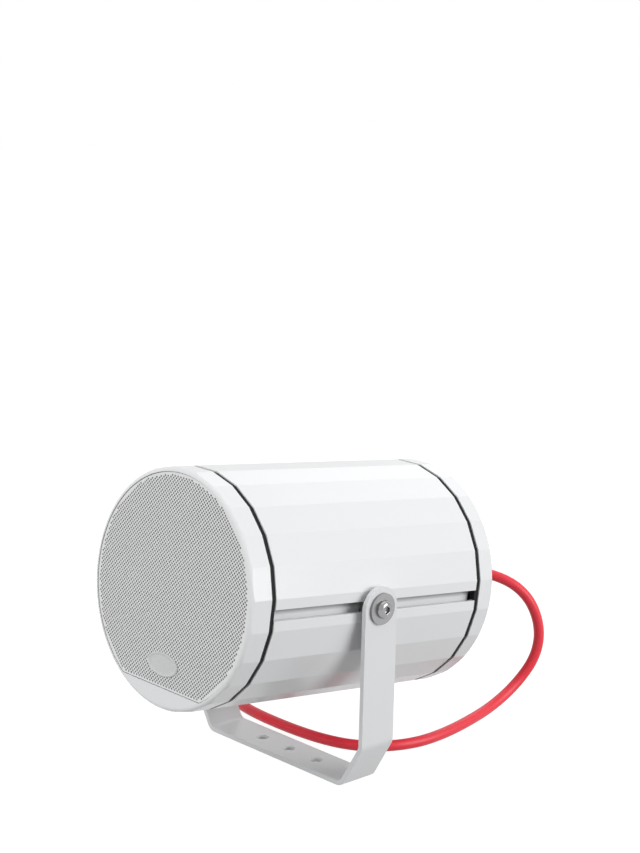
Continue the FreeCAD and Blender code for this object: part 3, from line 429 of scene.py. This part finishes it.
def woven_group():
    """Woven cloth: two crossed sets of threads, the higher of the two at each place."""
    group, given, result = new_group("woven_threads", {"Grain": 700.0, "Drift": 30.0})
    if given:
        crossed = []
        for direction in ("X", "Z"):
            threads = waves(group, given.outputs["Vector"], given.outputs["Grain"])
            threads.bands_direction = direction
            crossed.append(threads.outputs["Fac"])
        higher = calculated(group, "MAXIMUM", *crossed)
        group.links.new(higher, result.inputs["Height"])
        group.links.new(higher, result.inputs["Tone"])
    return group


def finish_material(
    name, pattern, base, worn, *, roughness, bump, grain, drift, metallic=0.0, coat=0.0, gloss=0.5
):
    """Principled material: the pattern's tone mixes two colours and two roughnesses, and its height
    gives a bump of bump metres."""
    material = bpy.data.materials.new(name)
    material.use_nodes = True
    tree = material.node_tree
    shader = tree.nodes["Principled BSDF"]
    shader.inputs["Metallic"].default_value = metallic
    shader.inputs["Coat Weight"].default_value = coat
    shader.inputs["Specular IOR Level"].default_value = gloss
    place = tree.nodes.new("ShaderNodeTexCoord")
    texture = tree.nodes.new("ShaderNodeGroup")
    texture.node_tree = pattern
    texture.inputs["Grain"].default_value = grain
    texture.inputs["Drift"].default_value = drift
    tree.links.new(place.outputs["Object"], texture.inputs["Vector"])
    tint = tree.nodes.new("ShaderNodeMix")
    tint.data_type = "RGBA"
    tint.inputs["A"].default_value = (*base, 1.0)
    tint.inputs["B"].default_value = (*worn, 1.0)
    tree.links.new(texture.outputs["Tone"], tint.inputs["Factor"])
    tree.links.new(tint.outputs["Result"], shader.inputs["Base Color"])
    polish = ranged(tree, texture.outputs["Tone"], 0.0, 1.0, *roughness)
    tree.links.new(polish, shader.inputs["Roughness"])
    relief = tree.nodes.new("ShaderNodeBump")
    relief.inputs["Distance"].default_value = bump
    tree.links.new(texture.outputs["Height"], relief.inputs["Height"])
    tree.links.new(relief.outputs["Normal"], shader.inputs["Normal"])
    return material


def painted_slot_shade_mask(tree, vector):
    """Socket of the painted shade in the slots: it grows from 0 at the slots' lips to 1 at the
    upper half of their floor, and is 0 outside the slots: the depth below the side flats times the
    height above the slots' middle, kept to a band about that middle."""
    up = rest_turn()[:, 2]
    flat = level_box("body_shell")[1][0]
    split = tree.nodes.new("ShaderNodeSeparateXYZ")
    tree.links.new(vector, split.inputs["Vector"])
    across = calculated(tree, "ABSOLUTE", split.outputs["X"])
    mouth = flat - sizes().slot_lip
    depth = ranged(tree, across, mouth, mouth - sizes().slot_depth)
    height = tree.nodes.new("ShaderNodeVectorMath")
    height.operation = "DOT_PRODUCT"
    height.inputs[1].default_value = up
    tree.links.new(vector, height.inputs[0])
    above = calculated(tree, "SUBTRACT", height.outputs["Value"], float(PIVOT @ up))
    apart = calculated(tree, "ABSOLUTE", above)
    within = calculated(tree, "LESS_THAN", apart, sizes().slot_width * SLOT_BAND)
    corner = ranged(tree, above, *(sizes().slot_width * share for share in SLOT_PAINTED_SHADE_HEIGHTS))
    deep = calculated(tree, "MULTIPLY", within, depth)
    return calculated(tree, "MULTIPLY", deep, corner)


def painted_shade_in_slots(material, factor):
    """Paint shade into a paint's colour: darker on the upper part of the slots' floor, where the
    lip shades it.
    """
    tree = material.node_tree
    shader = tree.nodes["Principled BSDF"]
    tint = shader.inputs["Base Color"].links[0].from_socket
    place = tree.nodes.new("ShaderNodeTexCoord")
    dim = tree.nodes.new("ShaderNodeMix")
    dim.data_type = "RGBA"
    dim.blend_type = "MULTIPLY"
    dim.inputs["B"].default_value = (factor, factor, factor, 1.0)
    # Painted shade: the mask darkens the paint's colour by the factor.
    tree.links.new(painted_slot_shade_mask(tree, place.outputs["Object"]), dim.inputs["Factor"])
    tree.links.new(tint, dim.inputs["A"])
    tree.links.new(dim.outputs["Result"], shader.inputs["Base Color"])
    return material


def shade(base, factor):
    """A colour made darker or lighter by a factor."""
    return tuple(channel * factor for channel in base)


def dress(material, *nodes):
    """Give a material to CAD nodes in place of their own."""
    for name in nodes:
        mesh = frame["nodes"][name].data
        mesh.materials.clear()
        mesh.materials.append(material)


def painted(name, base):
    """Satin powder coat with a fine orange-peel surface."""
    return finish_material(
        name, grain_group(), base, shade(base, 0.985),
        roughness=(0.26, 0.31), bump=0.000005, grain=1100.0, drift=9.0, coat=0.15,
    )


def rubbery(name, base):
    """Matt rubber with a dusty drift of tone."""
    return finish_material(
        name, grain_group(), base, shade(base, 1.8),
        roughness=(0.50, 0.70), bump=0.00003, grain=1800.0, drift=30.0, gloss=0.2,
    )


def moulded(name, base):
    """Moulded plastic with a fine spark-eroded texture."""
    return finish_material(
        name, grain_group(), base, shade(base, 0.93),
        roughness=(0.34, 0.46), bump=0.00002, grain=2200.0, drift=25.0,
    )


def metallic(name, base, roughness=(0.22, 0.40)):
    """Brushed metal."""
    return finish_material(
        name, brushed_group(), base, shade(base, 0.72),
        roughness=roughness, bump=0.000004, grain=2500.0, drift=30.0, metallic=1.0,
    )


def turned(name, base, roughness, bump, grain):
    """Turned metal with rings about the pivots."""
    return finish_material(
        name, turned_group(), base, shade(base, 0.80),
        roughness=roughness, bump=bump, grain=grain, drift=90.0, metallic=1.0,
    )


# Operators


class PROJECTOR_OT_stage(bpy.types.Operator):
    """Camera at the photograph's view, soft lamps, a plain floor and a white surround"""

    bl_idname = "projector.stage"
    bl_label = "Stage"

    def execute(self, context):
        self.add_camera(context.scene)
        self.add_lamps(context.scene)
        self.add_floor()
        self.add_world(context.scene)
        context.scene.view_settings.view_transform = "Standard"
        return {"FINISHED"}

    def add_camera(self, scene):
        """Camera whose place, turn and lens were fitted to points of the photograph."""
        azimuth, elevation, roll = np.radians((CAMERA_AZIMUTH, CAMERA_ELEVATION, CAMERA_ROLL))
        away = math.cos(elevation)
        back = Vector((math.sin(azimuth) * away, -math.cos(azimuth) * away, math.sin(elevation)))
        level = Vector((math.cos(azimuth), math.sin(azimuth), 0.0))
        upright = back.cross(level)
        right = level * math.cos(roll) + upright * math.sin(roll)
        up = upright * math.cos(roll) - level * math.sin(roll)
        lens = bpy.data.cameras.new("camera")
        lens.sensor_width = CAMERA_SENSOR
        lens.lens = CAMERA_LENS
        lens.clip_start, lens.clip_end = CAMERA_CLIP
        camera = bpy.data.objects.new("camera", lens)
        turn = Matrix((right, up, back)).transposed().to_4x4()
        camera.matrix_world = Matrix.Translation(CAMERA_PLACE) @ turn
        scene.collection.objects.link(camera)
        scene.camera = camera

    def add_lamps(self, scene):
        """Soft boxes aimed at the middle of the housing."""
        for name, place, side, power, mirrored in LAMPS:
            light = bpy.data.lights.new(name, "AREA")
            light.shape = "SQUARE"
            light.size = side
            light.energy = power
            lamp = bpy.data.objects.new(name, light)
            lamp.location = place
            lamp.visible_glossy = mirrored
            lamp.rotation_euler = (Vector(place) - LAMP_TARGET).to_track_quat("Z", "Y").to_euler()
            scene.collection.objects.link(lamp)

    def add_floor(self):
        """Flat floor just under the bracket: x and y run over a square, and z is constant. Camera,
        glossy and transmission rays see it nearly white with the shadow; other rays see a pale matt
        surface."""
        reach = np.linspace(-FLOOR_REACH, FLOOR_REACH, FLOOR_POINTS)
        across, along = np.meshgrid(reach, reach)
        down = np.full_like(across, -FLOOR_DROP)
        points = np.stack((across, along, down), axis=-1).reshape(-1, 3)
        mesh = bpy.data.meshes.new("floor")
        mesh.from_pydata(points.tolist(), [], grid_faces(FLOOR_POINTS, FLOOR_POINTS).tolist())
        floor = bpy.data.objects.new("floor", mesh)
        bpy.context.scene.collection.objects.link(floor)
        material = bpy.data.materials.new("floor_white")
        material.use_nodes = True
        tree = material.node_tree
        tree.nodes.clear()
        matt = tree.nodes.new("ShaderNodeBsdfDiffuse")
        matt.inputs["Color"].default_value = (*colours().floor, 1.0)
        faint = tree.nodes.new("ShaderNodeBsdfDiffuse")
        faint.inputs["Color"].default_value = (*shade(colours().floor, FLOOR_LIFT), 1.0)
        glow = tree.nodes.new("ShaderNodeEmission")
        glow.inputs["Strength"].default_value = FLOOR_GLOW
        seen = tree.nodes.new("ShaderNodeAddShader")
        tree.links.new(faint.outputs["BSDF"], seen.inputs[0])
        tree.links.new(glow.outputs["Emission"], seen.inputs[1])
        choose = tree.nodes.new("ShaderNodeMixShader")
        tree.links.new(seen_rays(tree), choose.inputs["Fac"])
        tree.links.new(matt.outputs["BSDF"], choose.inputs[1])
        tree.links.new(seen.outputs["Shader"], choose.inputs[2])
        output = tree.nodes.new("ShaderNodeOutputMaterial")
        tree.links.new(choose.outputs["Shader"], output.inputs["Surface"])
        mesh.materials.append(material)

    def add_world(self, scene):
        """Even light from all round, and white where it is seen."""
        world = bpy.data.worlds.new("surround")
        world.use_nodes = True
        scene.world = world
        tree = world.node_tree
        tree.nodes.clear()
        even = tree.nodes.new("ShaderNodeBackground")
        even.inputs["Strength"].default_value = WORLD_STRENGTH
        white = tree.nodes.new("ShaderNodeBackground")
        even.inputs["Color"].default_value = (1.0, 1.0, 1.0, 1.0)
        white.inputs["Color"].default_value = (1.0, 1.0, 1.0, 1.0)
        choose = tree.nodes.new("ShaderNodeMixShader")
        tree.links.new(seen_rays(tree), choose.inputs["Fac"])
        tree.links.new(even.outputs["Background"], choose.inputs[1])
        tree.links.new(white.outputs["Background"], choose.inputs[2])
        output = tree.nodes.new("ShaderNodeOutputWorld")
        tree.links.new(choose.outputs["Shader"], output.inputs["Surface"])


class PROJECTOR_OT_cable(bpy.types.Operator):
    """Red cable from the gland down to the floor, with its two cores at the free end"""

    bl_idname = "projector.cable"
    bl_label = "Cable"

    def execute(self, context):
        line = self.route_line(context.scene)
        sheath = finish_material(
            "cable_sheath", grain_group(), colours().sheath, shade(colours().sheath, 0.92),
            roughness=(0.36, 0.48), bump=0.00001, grain=1500.0, drift=40.0,
        )
        split = int(np.argmax(line[:, 2] < sizes().cable_handover))
        if split == 0:
            raise ValueError("the cable never reaches its handover")
        rings = tube_rings(line, sizes().cable_diameter / 2.0, 24)
        upper = self.add_run("cable_upper", rings[:split + 1], sheath)
        lower = self.add_run("cable_lower", rings[split:], sheath)
        tails = self.add_cores(line)
        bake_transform(upper)
        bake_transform(lower)
        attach(tails, "bracket")
        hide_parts("signal_cable")
        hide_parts("signal_cable")
        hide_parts("cable_tails")
        self.declare(upper, line[:split + 1], "object", [])
        self.declare(lower, line[split:], "bare", [tails])
        return {"FINISHED"}

    def route_line(self, scene):
        """Points read from a smooth spline whose control points are the cable's route."""
        curve = bpy.data.curves.new("cable_route", "CURVE")
        curve.dimensions = "3D"
        curve.resolution_u = 24
        spline = curve.splines.new("NURBS")
        spline.points.add(len(CABLE_ROUTE) - 1)
        weighted = np.column_stack((CABLE_ROUTE, np.ones(len(CABLE_ROUTE))))
        spline.points.foreach_set("co", weighted.ravel())
        spline.order_u = 3
        spline.use_endpoint_u = True
        route = bpy.data.objects.new("cable_route", curve)
        scene.collection.objects.link(route)
        bpy.context.view_layer.update()
        mesh = bpy.data.meshes.new_from_object(route)
        line = mesh_points(mesh)
        bpy.data.objects.remove(route)
        bpy.data.meshes.remove(mesh)
        return line

    def add_run(self, name, rings, material):
        """Round tube through a stretch of the cable's rings, closed at both ends."""
        points, faces = ring_skin(rings, closed_profile=False)
        piece = solid_object(name, points, faces)
        piece.data.materials.append(material)
        return piece

    def add_cores(self, line):
        """Two cores beyond the sheath: an insulated length, then strands whose radius waves with
        angle and twists along the core."""
        ahead = line[-1] - line[-2]
        ahead /= np.linalg.norm(ahead)
        aside = np.cross(ahead, (0.0, 0.0, 1.0))
        radius = sizes().core_diameter / 2.0
        edge = sizes().core_length
        inside_sheath, bevel, gap = 0.0020, 0.0003, 0.0001
        bundle, wave, strands, twist, jacket_end = 0.66, 0.05, 7.0, 900.0, 0.85
        jacket_along = np.array((-inside_sheath, edge - bevel, edge))
        bare = edge + np.linspace(gap, sizes().bare_length, 12)
        along = np.concatenate((jacket_along, bare))
        angles = full_turn(28)
        turned_by = strands * angles[None, :] + twist * (bare[:, None] - edge)
        strand = radius * (bundle + wave * np.cos(turned_by))
        jacket = np.outer((radius, radius, radius * jacket_end), np.ones(len(angles)))
        rings_radius = np.concatenate((jacket, strand))
        points, blocks, count = [], [], 0
        for hand in (-0.5, 0.5):
            start = line[-1] + aside * (hand * sizes().core_spacing)
            rings = tube_rings(start + along[:, None] * ahead, rings_radius, len(angles))
            block_points, faces = ring_skin(rings, closed_profile=False)
            points.append(block_points)
            blocks += [block + count for block in faces]
            count += len(block_points)
        piece = solid_object("cable_tails_bared", np.concatenate(points), blocks)
        piece.data.materials.append(moulded("core_insulation", (0.03, 0.03, 0.032)))
        piece.data.materials.append(metallic("bare_copper", (0.80, 0.42, 0.25)))
        centres = np.empty(len(piece.data.polygons) * 3)
        piece.data.polygons.foreach_get("center", centres)
        beyond = (centres.reshape(-1, 3) - line[-1]) @ ahead > sizes().core_length
        piece.data.polygons.foreach_set("material_index", beyond.astype(np.int32))
        return piece

    def declare(self, piece, line, far_end, with_pieces):
        """Does nothing with a stretch of the cable."""


class PROJECTOR_OT_housing(bpy.types.Operator):
    """White paint of the housing, front ring and cap, and the black seals between them"""

    bl_idname = "projector.housing"
    bl_label = "Housing"

    def execute(self, context):
        # The housing's paint gets painted shade on the upper part of its slots' floor.
        dress(painted_shade_in_slots(painted("housing_paint_with_painted_shade", colours().housing), SLOT_PAINTED_SHADE_TONE), "body_shell")
        dress(painted("end_paint", colours().housing), "front_ring", "rear_cap")
        dress(rubbery("seal_rubber", colours().rubber), "front_gasket", "rear_gasket", "gland_seal")
        return {"FINISHED"}


class PROJECTOR_OT_grille(bpy.types.Operator):
    """Perforated sheet with its fine holes, and the black cloth behind it"""

    bl_idname = "projector.grille"
    bl_label = "Grille"

    def execute(self, context):
        points, faces = self.perforated_sheet()
        piece = solid_object("grille_sheet", points, faces, smooth=False)
        piece.data.materials.append(painted("grille_paint", colours().grille))
        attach(piece, "speaker")
        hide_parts("grille")
        cloth = finish_material(
            "grille_weave", woven_group(), (0.010, 0.010, 0.011), (0.022, 0.022, 0.024),
            roughness=(0.85, 0.95), bump=0.0002, grain=900.0, drift=30.0,
        )
        dress(cloth, "grille_cloth")
        return {"FINISHED"}

    def perforated_sheet(self):
        """Square cells of one pitch, turned 45 degrees, each with an eight-sided hole through it.
        Corners that fall outside the round outline, or below its straight edge, are drawn onto it,
        and cells with such a corner stay plain. The walls of the rim stand on the edges that only
        one cell uses."""
        low, high = level_box("grille")
        radius = (high[0] - low[0]) / 2.0
        centre = np.array(((low[0] + high[0]) / 2.0, high[2] - radius))
        floor = low[2] - centre[1]
        pitch = sizes().grille_pitch
        count = int(math.ceil(radius * math.sqrt(2.0) / pitch)) + 1
        steps = np.arange(-count, count + 1)
        first, second = np.meshgrid(steps, steps, indexing="ij")
        diagonal = pitch / math.sqrt(2.0)
        nodes = diagonal * np.stack((first - second, first + second), axis=-1).reshape(-1, 2)
        least_rim = 0.12
        spare = pitch * least_rim
        inside = (np.linalg.norm(nodes, axis=1) < radius - spare) & (nodes[:, 1] > floor + spare)
        cells = grid_faces(len(steps), len(steps))
        touched = inside[cells].sum(axis=1)
        whole = cells[touched == 4]
        edge = cells[(touched > 0) & (touched < 4)]
        flat = self.drawn_in(nodes, inside, radius, floor)
        used, numbers = np.unique(np.concatenate((whole, edge)), return_inverse=True)
        numbers = numbers.reshape(-1, 4)
        whole, edge = numbers[:len(whole)], numbers[len(whole):]
        corners = flat[used]
        angles = full_turn(8) + math.radians(67.5)
        eight = sizes().grille_hole / 2.0 * np.stack((np.cos(angles), np.sin(angles)), axis=-1)
        middles = corners[whole].mean(axis=1)
        rims = (middles[:, None, :] + eight[None]).reshape(-1, 2)
        plan = np.concatenate((corners, rims)) + centre
        layer = len(plan)
        rim = len(corners) + np.arange(len(whole) * 8).reshape(-1, 8)
        quads, wedges = self.cell_faces(whole, rim)
        front = np.concatenate((edge, quads))
        back = front[:, ::-1] + layer
        wall = np.stack((rim, np.roll(rim, -1, axis=1)), axis=-1).reshape(-1, 2)
        walls = np.column_stack((wall[:, ::-1], wall + layer))
        border = self.single_edges(np.concatenate((edge, whole)))
        borders = np.column_stack((border[:, ::-1], border + layer))
        points = np.empty((2 * layer, 3))
        points[:, 0] = np.tile(plan[:, 0], 2)
        points[:, 2] = np.tile(plan[:, 1], 2)
        points[:, 1] = np.repeat((low[1], high[1]), layer)
        quads = np.concatenate((front, back, walls, borders))
        return at_rest(points), [quads, wedges, wedges[:, ::-1] + layer]

    def drawn_in(self, nodes, inside, radius, floor):
        """Corners with those outside moved onto the outline: along their radius to the circle, then
        up to the straight edge, which is as wide as the circle is there."""
        reach = np.maximum(np.linalg.norm(nodes, axis=1, keepdims=True), radius * 0.5)
        round_edge = nodes * radius / reach
        half = math.sqrt(radius ** 2 - floor ** 2)
        straight = np.column_stack((np.clip(nodes[:, 0], -half, half), np.full(len(nodes), floor)))
        below = round_edge[:, 1] < floor
        over_floor = (nodes[:, 1] < floor) & (np.abs(nodes[:, 0]) < half)
        outside = np.where((below | over_floor)[:, None], straight, round_edge)
        return np.where(inside[:, None], nodes, outside)

    def cell_faces(self, whole, rim):
        """Faces between a cell's four corners and its hole: a quad along each side and a triangle
        at each corner. The corners run the other way round than the hole's points, so corner k
        looks at the hole's side between its points 4 - 2k and 5 - 2k."""
        quads = []
        wedges = []
        for number in range(4):
            here = rim[:, (4 - 2 * number) % 8]
            before = rim[:, (3 - 2 * number) % 8]
            after = rim[:, (5 - 2 * number) % 8]
            corner = whole[:, number]
            quads.append(np.column_stack((corner, whole[:, (number + 1) % 4], before, here)))
            wedges.append(np.column_stack((corner, here, after)))
        return np.concatenate(quads), np.concatenate(wedges)

    def single_edges(self, cells):
        """Edges that belong to one cell only, in that cell's own direction."""
        edges = np.stack((cells, np.roll(cells, -1, axis=1)), axis=-1).reshape(-1, 2)
        ordered = np.sort(edges, axis=1)
        keys = ordered[:, 0].astype(np.int64) * (ordered.max() + 1) + ordered[:, 1]
        _, back, counts = np.unique(keys, return_inverse=True, return_counts=True)
        return edges[counts[back.ravel()] == 1]


class PROJECTOR_OT_badge(bpy.types.Operator):
    """Plain oval plate on the grille, with a bead round its edge"""

    bl_idname = "projector.badge"
    bl_label = "Badge"

    def execute(self, context):
        low, high = level_box("badge_blank")
        centre = (low + high) / 2.0
        half = (high - low) / 2.0
        share = np.concatenate((np.linspace(0.02, BADGE_FIELD, 8), np.linspace(0.83, 1.0, 14)))
        angles = full_turn(96)
        across = centre[0] + half[0] * share[:, None] * np.cos(angles)
        up = centre[2] + half[2] * share[:, None] * np.sin(angles)
        front = np.broadcast_to(self.relief(share, low[1], high[1])[:, None], across.shape)
        rings = np.stack((across, front, up), axis=-1)
        back = rings[-1:].copy()
        back[..., 1] = high[1]
        points, faces = ring_skin(np.concatenate((rings, back)), closed_profile=False)
        piece = solid_object("badge_plate", at_rest(points), faces)
        piece.data.materials.append(moulded("badge_gloss", colours().badge))
        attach(piece, "speaker")
        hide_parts("badge_blank")
        return {"FINISHED"}

    def relief(self, share, front, back):
        """Place of the plate's face along Y over the share of the way to its edge: level in the
        field, then up over a rounded bead, a quarter of a sine that is full at two thirds, and down
        with the square of what is left beyond the top to two fifths of the plate's thickness at the
        edge."""
        crest, top, drop = 2.0 / 3.0, 0.6, 0.6
        bead = np.clip((share - BADGE_FIELD) / (1.0 - BADGE_FIELD), 0.0, 1.0)
        lift = np.sin(np.pi / 2.0 * np.minimum(bead / crest, 1.0))
        fall = np.clip((bead - top) / (1.0 - top), 0.0, 1.0) ** 2
        field = front + sizes().badge_bead
        return field - sizes().badge_bead * lift + fall * (back - front) * drop


class PROJECTOR_OT_bracket(bpy.types.Operator):
    """Painted steel bracket with its stainless pivot screws, washers, spacers and nuts"""

    bl_idname = "projector.bracket"
    bl_label = "Bracket and pivots"

    def execute(self, context):
        dress(painted("bracket_paint", colours().bracket), "bracket")
        polish = turned("polished_screw", colours().screw, (0.06, 0.12), bump=0.000001, grain=700.0)
        self.add_screws(polish)
        washer = turned("turned_washer", colours().steel, (0.22, 0.36), bump=0.000004, grain=400.0)
        dress(washer, "pivot_washers")
        dress(metallic("stainless_steel", colours().steel), "spacer_washers", "slot_nuts")
        return {"FINISHED"}

    def add_screws(self, material):
        """Both pivot screws, one the other turned half round the upright line through the
        middle."""
        points = mesh_points(frame["nodes"]["pivot_screws"].data)
        across = np.abs(points[:, 0])
        outer = np.ptp(points[:, 1]) / 2.0
        along, radius, angles = self.screw_profile(across.min(), across.max(), outer)
        rings = np.stack((along, radius * np.cos(angles), radius * np.sin(angles)), axis=-1)
        right, faces = ring_skin(rings, closed_profile=False)
        pair = np.concatenate((right, right * (-1.0, -1.0, 1.0))) + (0.0, *PIVOT[1:])
        faces = faces + [block + len(right) for block in faces]
        piece = solid_object("pivot_screw_pair", pair, faces)
        piece.data.materials.append(material)
        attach(piece, "pivot_set")
        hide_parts("pivot_screws")

    def screw_profile(self, inner, tip, outer):
        """Places along and radii of a screw's rings over angle: a shank, a head whose dome is a
        quarter of an ellipse, and a six-sided socket, whose radius is half the flats over the
        cosine of the angle from the middle of the nearest flat."""
        land, chamfer, depth, drilled = 0.0004, 0.0002, 0.0020, 0.0025
        rim_share, drill_share = 0.68, 0.1
        seat = tip - sizes().screw_head
        angles = full_turn(96)
        sixth = math.pi / 3.0
        socket = sizes().screw_socket / 2.0 / np.cos((angles + sixth / 2.0) % sixth - sixth / 2.0)
        rim = sizes().screw_socket * rim_share
        quarter = np.linspace(0.0, math.pi / 2.0, 14)
        start = seat + land
        dome_along = start + (tip - start) * np.sin(quarter)
        dome_radius = rim + (outer - rim) * np.cos(quarter)
        solid_along = np.concatenate(((inner, seat, seat), dome_along))
        solid_radius = np.concatenate(((sizes().screw_shank,) * 2, (outer,), dome_radius))
        socket_along = tip - np.array((chamfer, depth, drilled))
        along = np.outer(np.concatenate((solid_along, socket_along)), np.ones(len(angles)))
        solid = np.outer(solid_radius, np.ones(len(angles)))
        radius = np.concatenate((solid, np.outer((1.0, 1.0, drill_share), socket)))
        return along, radius, angles


class PROJECTOR_OT_gland(bpy.types.Operator):
    """Nylon cable gland with a fluted dome nut"""

    bl_idname = "projector.gland"
    bl_label = "Cable gland"

    def execute(self, context):
        nylon = moulded("gland_nylon", colours().gland)
        dress(nylon, "gland_body", "gland_lock_nut")
        low, high = level_box("gland_dome_nut")
        centre = (low + high) / 2.0
        outer = (high[2] - low[2]) / 2.0
        profile, grip = self.nut_profile(low[1], high[1], outer)
        points_per_flute, sharpness = 12, 0.7
        angles = full_turn(sizes().dome_flutes * points_per_flute)
        flutes = np.abs(np.cos(angles * sizes().dome_flutes / 2.0)) ** sharpness - 1.0
        ripple = sizes().flute_depth * grip[:, None] * flutes[None, :]
        rings = turned_about_y(profile, angles, centre, ripple)
        points, faces = ring_skin(rings, closed_profile=True)
        piece = solid_object("gland_dome", at_rest(points), faces)
        piece.data.materials.append(nylon)
        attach(piece, "speaker")
        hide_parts("gland_dome_nut")
        return {"FINISHED"}

    def nut_profile(self, start, end, outer):
        """Closed profile of (along Y, radius): a skirt, a quarter-round dome down to the cable's
        hole, and the bore behind it; and beside it the share of the flutes at each point, which
        fade over the dome."""
        dome, bore, thread, bevel, lead, clearance = 0.0050, 0.00925, 0.0080, 0.0006, 0.0004, 0.0002
        hole = sizes().cable_diameter / 2.0 + clearance
        roof = start + thread
        quarter = np.linspace(0.0, math.pi / 2.0, 10)
        skirt = [(start, bore), (start, outer - bevel), (start + bevel, outer)]
        skirt.append((end - dome - lead, outer))
        arc = np.column_stack((np.sin(quarter), np.cos(quarter)))
        round_end = dome * (arc - 1.0) + (end, outer)
        inside = [(end, hole + bevel), (end - bevel, hole), (roof, hole), (roof, bore)]
        profile = np.concatenate((skirt, round_end, inside))
        grip = np.concatenate(((0.0, 1.0, 1.0, 1.0), np.cos(quarter) ** 2, np.zeros(4)))
        return profile, grip


class PROJECTOR_OT_driver(bpy.types.Operator):
    """Finishes of the loudspeaker driver behind the grille"""

    bl_idname = "projector.driver"
    bl_label = "Driver"

    def execute(self, context):
        zinc = metallic("plated_steel", (0.55, 0.56, 0.56), (0.30, 0.50))
        dress(zinc, "driver_screws", "front_ring_screws", "rear_cap_screws")
        dress(zinc, "magnet_top_plate", "magnet_yoke")
        dress(painted("basket_paint", (0.02, 0.02, 0.021)), "driver_basket")
        dress(rubbery("surround_rubber", colours().rubber), "driver_surround")
        paper = finish_material(
            "cone_paper", grain_group(), (0.030, 0.029, 0.027), (0.050, 0.048, 0.045),
            roughness=(0.75, 0.90), bump=0.00020, grain=600.0, drift=20.0,
        )
        dress(paper, "driver_cone", "dust_cap")
        spider = finish_material(
            "spider_cloth", woven_group(), (0.52, 0.38, 0.16), (0.62, 0.48, 0.24),
            roughness=(0.80, 0.90), bump=0.00020, grain=1200.0, drift=30.0,
        )
        dress(spider, "driver_spider")
        copper = finish_material(
            "wound_copper", banded_group(), (0.72, 0.36, 0.20), (0.55, 0.25, 0.13),
            roughness=(0.30, 0.45), bump=0.00010, grain=1500.0, drift=40.0, metallic=1.0,
        )
        dress(copper, "voice_coil")
        ferrite = finish_material(
            "ferrite", grain_group(), (0.045, 0.045, 0.048), (0.030, 0.030, 0.032),
            roughness=(0.55, 0.75), bump=0.00010, grain=900.0, drift=25.0,
        )
        dress(ferrite, "magnet_ring")
        return {"FINISHED"}


class PROJECTOR_OT_transformer(bpy.types.Operator):
    """Finishes of the line transformer, its plate and the connections inside the cap"""

    bl_idname = "projector.transformer"
    bl_label = "Transformer"

    def execute(self, context):
        zinc = metallic("plate_zinc", (0.58, 0.58, 0.56), (0.35, 0.55))
        dress(zinc, "mounting_plate", "plate_screws")
        stack = finish_material(
            "core_sheets", banded_group(), (0.16, 0.16, 0.17), (0.10, 0.10, 0.11),
            roughness=(0.45, 0.60), bump=0.00015, grain=1000.0, drift=40.0, metallic=0.8,
        )
        dress(stack, "transformer_core")
        tape = finish_material(
            "winding_tape", banded_group(), (0.60, 0.42, 0.08), (0.50, 0.33, 0.06),
            roughness=(0.30, 0.45), bump=0.00008, grain=300.0, drift=30.0,
        )
        dress(tape, "transformer_winding")
        dress(moulded("terminal_nylon", (0.70, 0.69, 0.64)), "terminal_block")
        dress(moulded("fuse_ceramic", (0.75, 0.73, 0.68)), "thermal_fuse")
        dress(moulded("core_sheath", (0.03, 0.03, 0.032)), "cable_cores")
        return {"FINISHED"}


class PROJECTOR_PT_looks(bpy.types.Panel):
    """Operators, sizes and colours of the sound projector"""

    bl_idname = "PROJECTOR_PT_looks"
    bl_label = "Sound projector"
    bl_space_type = "VIEW_3D"
    bl_region_type = "UI"
    bl_category = "Sound projector"

    def draw(self, context):
        for operator in OPERATORS:
            self.layout.operator(operator.bl_idname)
        for group in (context.scene.projector_sizes, context.scene.projector_colours):
            column = self.layout.column()
            for name in group.__annotations__:
                column.prop(group, name)


OPERATORS = (
    PROJECTOR_OT_stage,
    PROJECTOR_OT_cable,
    PROJECTOR_OT_housing,
    PROJECTOR_OT_grille,
    PROJECTOR_OT_badge,
    PROJECTOR_OT_bracket,
    PROJECTOR_OT_gland,
    PROJECTOR_OT_driver,
    PROJECTOR_OT_transformer,
)
CLASSES = (ProjectorSizes, ProjectorColours, *OPERATORS, PROJECTOR_PT_looks)


def register():
    """Register the classes and hang the settings on the scene."""
    for item in CLASSES:
        bpy.utils.register_class(item)
    bpy.types.Scene.projector_sizes = bpy.props.PointerProperty(type=ProjectorSizes)
    bpy.types.Scene.projector_colours = bpy.props.PointerProperty(type=ProjectorColours)


def unregister():
    """Take the settings off the scene and unregister the classes."""
    del bpy.types.Scene.projector_colours
    del bpy.types.Scene.projector_sizes
    for item in reversed(CLASSES):
        bpy.utils.unregister_class(item)


def main():
    """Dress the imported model."""
    register()
    bpy.ops.projector.stage()
    bpy.ops.projector.cable()
    bpy.ops.projector.housing()
    bpy.ops.projector.grille()
    bpy.ops.projector.badge()
    bpy.ops.projector.bracket()
    bpy.ops.projector.gland()
    bpy.ops.projector.driver()
    bpy.ops.projector.transformer()


if __name__ == "__main__":
    main()
